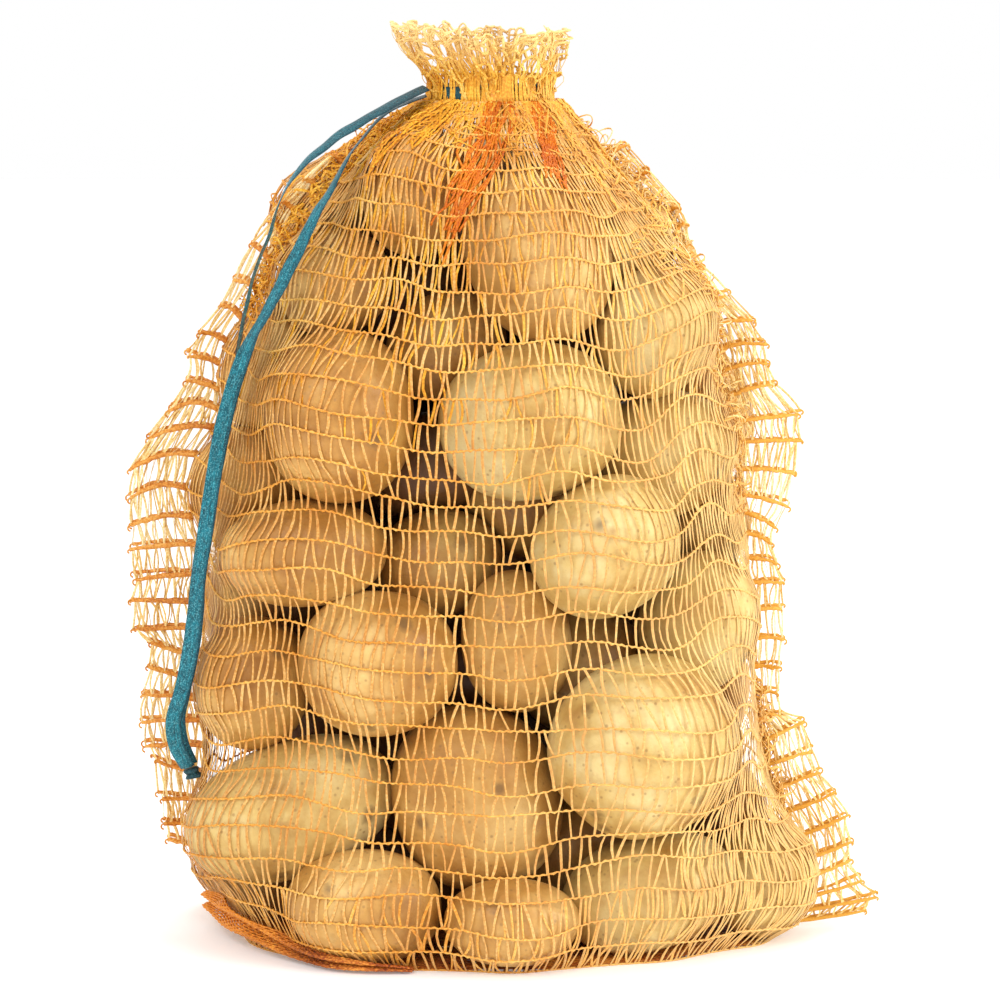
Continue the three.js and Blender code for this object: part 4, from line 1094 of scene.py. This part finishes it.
def frill(name, side, table, turn, node, seed, thickness):
    """Bars: a path from the seam to the outer edge that bows by the table's middle rise and ends at its
    outer rise, in two layers that part towards the edge. Strands: flat film between neighbouring bars at
    even places along them. The whole frill waves to the front and back as it goes up."""
    heights, outer, rise, bow = (np.array(table, float) * MM).T
    level = np.linspace(0, 1, 400)
    seam, _ = on_net(np.full(400, turn), level)
    order = np.argsort(seam[:, 2])
    seam_x = np.interp(heights, seam[order, 2], seam[order, 0])
    seam_y = np.interp(heights, seam[order, 2], seam[order, 1])
    outer = side * np.maximum(abs(outer), abs(seam_x) + 5 * MM)
    local = np.random.default_rng(seed)
    step = np.linspace(0, 1, POINTS_ON_BAR)[None, :]
    rows = len(heights)

    def bar(layer):
        """Paths of one layer: (bars, points along, 3)."""
        apart = 1.1 * MM * layer * (0.5 + step)
        wave = 4.0 * MM * np.sin(2 * np.pi * WAVES_UP_FRILL * heights / FRILL_HEIGHT)[:, None] * step**2
        x = seam_x[:, None] + (outer - seam_x + local.normal(0, 0.8 * MM, rows))[:, None] * step
        z = heights[:, None] + rise[:, None] * step + bow[:, None] * np.sin(np.pi * step)
        z = z + 0.45 * MM * layer * (0.6 + step) + local.normal(0, 0.6 * MM, (rows, 1)) * step
        ripple = local.normal(0, 0.22 * MM, x.shape)
        y = seam_y[:, None] * (1 - step) + wave + apart
        return np.stack([x, y, np.maximum(z + ripple, 1.6 * MM)], -1)

    layers = [bar(-1), bar(1)]
    toward = np.array([0, -1.0, 0.001])
    bars, strands, ends = [], [], []
    for path in layers:
        taper = 1.6 - 0.6 * step + 0.15 * np.sin(9 * step + local.uniform(0, 6, (rows, 1)))
        thick = (taper + local.normal(0, 0.12, path.shape[:2])) * MM * thickness
        bars.append(carried(path, toward, thick, 0.8 * thick, sides=6))
    for path in layers:
        place = np.arange(PLACES_ON_BAR)[None, :]
        at = (place + 0.6) / PLACES_ON_BAR + local.normal(0, 0.02, (rows - 1, PLACES_ON_BAR))
        lean = np.where(place % 2 == 0, 1, -1) * 0.03
        lower, upper = along_bars(path[:-1], at + lean), along_bars(path[1:], at - lean)
        rung = np.linspace(0, 1, 5)[None, :, None]
        line = mix(lower[:, :, None], upper[:, :, None], rung).reshape(-1, 5, 3)
        line = line + local.normal(0, 0.8 * MM, (len(line), 1, 3)) * np.sin(np.pi * rung) * [1, 1, 0.2]
        roomy = (abs(outer - seam_x)[:-1, None] > 20 * MM) | (place % 3 == 0)
        line = line[roomy.ravel()]
        facing = unit(toward + 0.6 * local.normal(size=(len(line), 1, 3)) * [1, 1, 0])
        strands.append(carried(line, facing, 0.55 * MM, FILM))
        tip = path[:, -1:]
        swing = np.linspace(0, np.pi, 7)[None, :, None]
        size = local.uniform(0.5, 1.6, (rows, 1, 1)) * MM
        loop = tip + size * np.concatenate([side * np.sin(swing), 0 * swing, np.cos(swing) - 1], -1)
        ends.append(carried(loop, toward, 0.45 * MM, 0.35 * MM))
    piece(name + "_bars", *joined(bars + ends), FRILL_YARN, "selvedge", [node])
    piece(name + "_strands", *joined(strands), PALE_YARN, "selvedge", smooth=False)


frill("left_selvedge", -1, LEFT_BARS, LEFT_SEAM, "left_frill", seed=31, thickness=1.0)
frill("right_selvedge", 1, RIGHT_BARS, RIGHT_SEAM, "right_frill", seed=57, thickness=0.82)

# %% [markdown]
# Higher up the frills don't stand off. They are crumpled against the cone below the neck, as a band of
# loose loops and short stretches of chain along both edges.

# %% Crumpled edges
def crumple(turn_middle, spread, downs, count, seed, height=1.5, half=0.6):
    """Loops with their feet on the net: from one foot to the other each is a straight line plus an arch
    of sin(pi t) outwards, and a kink of sin(2 pi t) sideways and upwards. Their middles lie about a turn,
    between two shares of the way down. height and half are the arch's and half the yarn's width in mm."""
    local = np.random.default_rng(seed)
    step = np.linspace(0, 1, 10)[None, :]
    down = local.uniform(*downs, (count, 1))
    turn = turn_middle + local.normal(0, spread, (count, 1))
    reach_turn, reach_down = local.normal(0, 0.012, (count, 1)), local.normal(0, 0.016, (count, 1))
    arch = local.gamma(2.2, height, (count, 1)) * MM * np.sin(np.pi * step)
    kink = np.sin(2 * np.pi * step)
    turn = turn + reach_turn * (step - 0.5) + local.normal(0, 0.006, (count, 1)) * kink
    down = down + reach_down * (step - 0.5) + local.normal(0, 0.005, (count, 1)) * kink
    path, normal = on_net(turn, np.clip(down, 0.004, 0.9), 0.5 * MM + arch)
    return carried(path, normal, half * local.uniform(0.7, 1.3, (count, 1)) * MM, 0.3 * MM)


# middle turn and its spread, range of the way down, number, seed, height, half width
crumples = [crumple(*row) for row in (
    (0.75, 0.12, (0.008, 0.08), 90, 8, 0.5, 0.36), (0.25, 0.10, (0.01, 0.10), 34, 9, 0.6, 0.36),
    (0.925, 0.028, (0.05, 0.27), 84, 13, 0.8, 0.4), (0.992, 0.010, (0.68, 0.84), 80, 10),
    (0.985, 0.026, (0.03, 0.32), 100, 5), (0.515, 0.026, (0.03, 0.30), 230, 6),
    (0.975, 0.02, (0.3, 0.5), 60, 7))]
piece("crumpled_edges", *joined(crumples), CONE_YARN, "selvedge", smooth=False)
pale_loops = crumple(0.985, 0.022, (0.03, 0.42), 130, 12, 1.5, 0.45)
piece("pale_loops", *pale_loops, PALE_YARN, "selvedge", smooth=False)

# %% [markdown]
# ## The gathered seam at the foot
#
# Along the lower left front the bottom seam has been pulled forwards, and the net lies there in a flat,
# dense roll of folds, bright orange on top and dark underneath. It is a strip of many parallel chains,
# widest near its left end and tapering to a point, with the folds as waves across it.

# %% The hem
def foot_hem():
    """Sixteen chains side by side along the foot. Chain k is at the share k/15 of the strip's width, and
    the strip stands off the net by a wave of two folds across it. Its x and y come from the net at that
    height, column by column."""
    count, seam_points = 130, 160
    along = np.linspace(0, 1, count)[None, :]
    across = np.linspace(0, 1, 16)[:, None]
    turn = 0.497 + 0.213 * along + 0 * across
    width = 15 * MM * np.interp(along, [0, 0.25, 0.6, 0.85, 1], [0.6, 1.0, 0.75, 0.4, 0.12])
    foot = 8.5 * MM * (1 - along) ** 1.5 + 1.3 * MM
    z = foot + width * across
    seam_down = np.linspace(0.86, 1, seam_points)
    columns = []
    for column, turn_value in enumerate(turn[0]):
        line, _ = on_net(np.full(seam_points, turn_value), seam_down)
        columns.append([np.interp(z[:, column], line[::-1, 2], line[::-1, k]) for k in range(2)])
    base = np.transpose(np.array(columns), (2, 0, 1))
    away = unit(base / GIRTH_OVAL**2)
    folds = 2.2 * MM * np.sin(across * 9.5 + 1.4 * np.sin(along * 11))
    folds = folds + 4.2 * MM * (1 - across) * (1 - 0.5 * along)
    ragged = 0.35 * MM * np.sin(along * 170 + across * 40)
    off = 2.4 * MM + folds + ragged + 5 * MM * np.exp(-along / 0.12)
    path = np.concatenate([base + away * off[..., None], z[..., None]], -1)
    path[..., 2] = np.maximum(path[..., 2], 1.2 * MM)
    lift = np.concatenate([away, np.zeros((*away.shape[:2], 1))], -1)
    radius = (0.62 + 0.15 * np.sin(along * 400 + across * 50)) * MM
    return carried(path, lift, radius, radius, sides=5)


piece("foot_hem", *foot_hem(), SEAM_YARN, "selvedge", ["bottom_hem"])

# %% [markdown]
# ## Floor and light
#
# The photograph has soft light on white, and the right half of the sack is the lighter one. So the
# stronger broad lamp stands at the right and a weaker one at the front left. A third from above lights
# the shoulders, and a pale floor and surroundings do the rest.

# %% Floor, lamps and surroundings
def lamp(name, place, aim, size, power):
    """A square area lamp that faces its aim."""
    light = bpy.data.lights.new(name, "AREA")
    light.size, light.energy = size, power
    made = placed(name, light)
    made.location = place
    made.rotation_euler = (Vector(aim) - Vector(place)).to_track_quat("-Z", "Y").to_euler()


floor_finish, floor_tree, floor_shader = new_finish("floor_paint", 0.7, 0.2)
floor_place = add(floor_tree, "ShaderNodeTexCoord").outputs["Object"]
floor_noise = noise(floor_tree, floor_place, 5, 1).outputs["Fac"]
floor_colour = ramp(floor_tree, floor_noise, [(0.3, (0.91, 0.91, 0.91)), (0.7, (0.93, 0.93, 0.93))])
floor_tree.links.new(floor_colour, floor_shader.inputs["Base Color"])
floor_shader.inputs["Emission Color"].default_value = (1, 1, 1, 1)
floor_shader.inputs["Emission Strength"].default_value = 0.17
floor_mesh = bpy.data.meshes.new("floor")
floor_mesh.from_pydata([(-6, -6, 0), (6, -6, 0), (6, 6, 0), (-6, 6, 0)], [], [(0, 1, 2, 3)])
floor_mesh.materials.append(floor_finish)
floor = placed("floor", floor_mesh)

lamp("key", (-0.8, -1.6, 1.6), (0, 0, 0.22), 0.8, 12)
lamp("right", (1.7, -1.0, 1.0), (0, 0, 0.2), 1.0, 22)
lamp("top", (0.1, 0.3, 1.8), (0, 0, 0.2), 1.0, 10)
world = bpy.data.worlds.new("pale_room")
bpy.context.scene.world = world
world.use_nodes = True
background = world.node_tree.nodes["Background"].inputs
background["Color"].default_value = (1.0, 1.0, 1.0, 1)
background["Strength"].default_value = 1.0
bpy.context.scene.view_settings.view_transform = "Standard"

# %% What was made, and its size
for name, triangles in pieces_made:
    if not name.startswith("skin_"):
        print(f"{name:24s} {triangles:7d} triangles")
print("all new pieces", sum(triangles for _, triangles in pieces_made), "triangles")
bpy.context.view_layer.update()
shown = [o for o in bpy.context.scene.objects if o.type == "MESH" and not o.hide_render and o is not floor]
corners = np.concatenate([np.array([v.co for v in o.data.vertices]) for o in shown])
pixels = in_picture(corners)
print("in the picture: left, top", pixels.min(0).round(), "right, bottom", pixels.max(0).round())
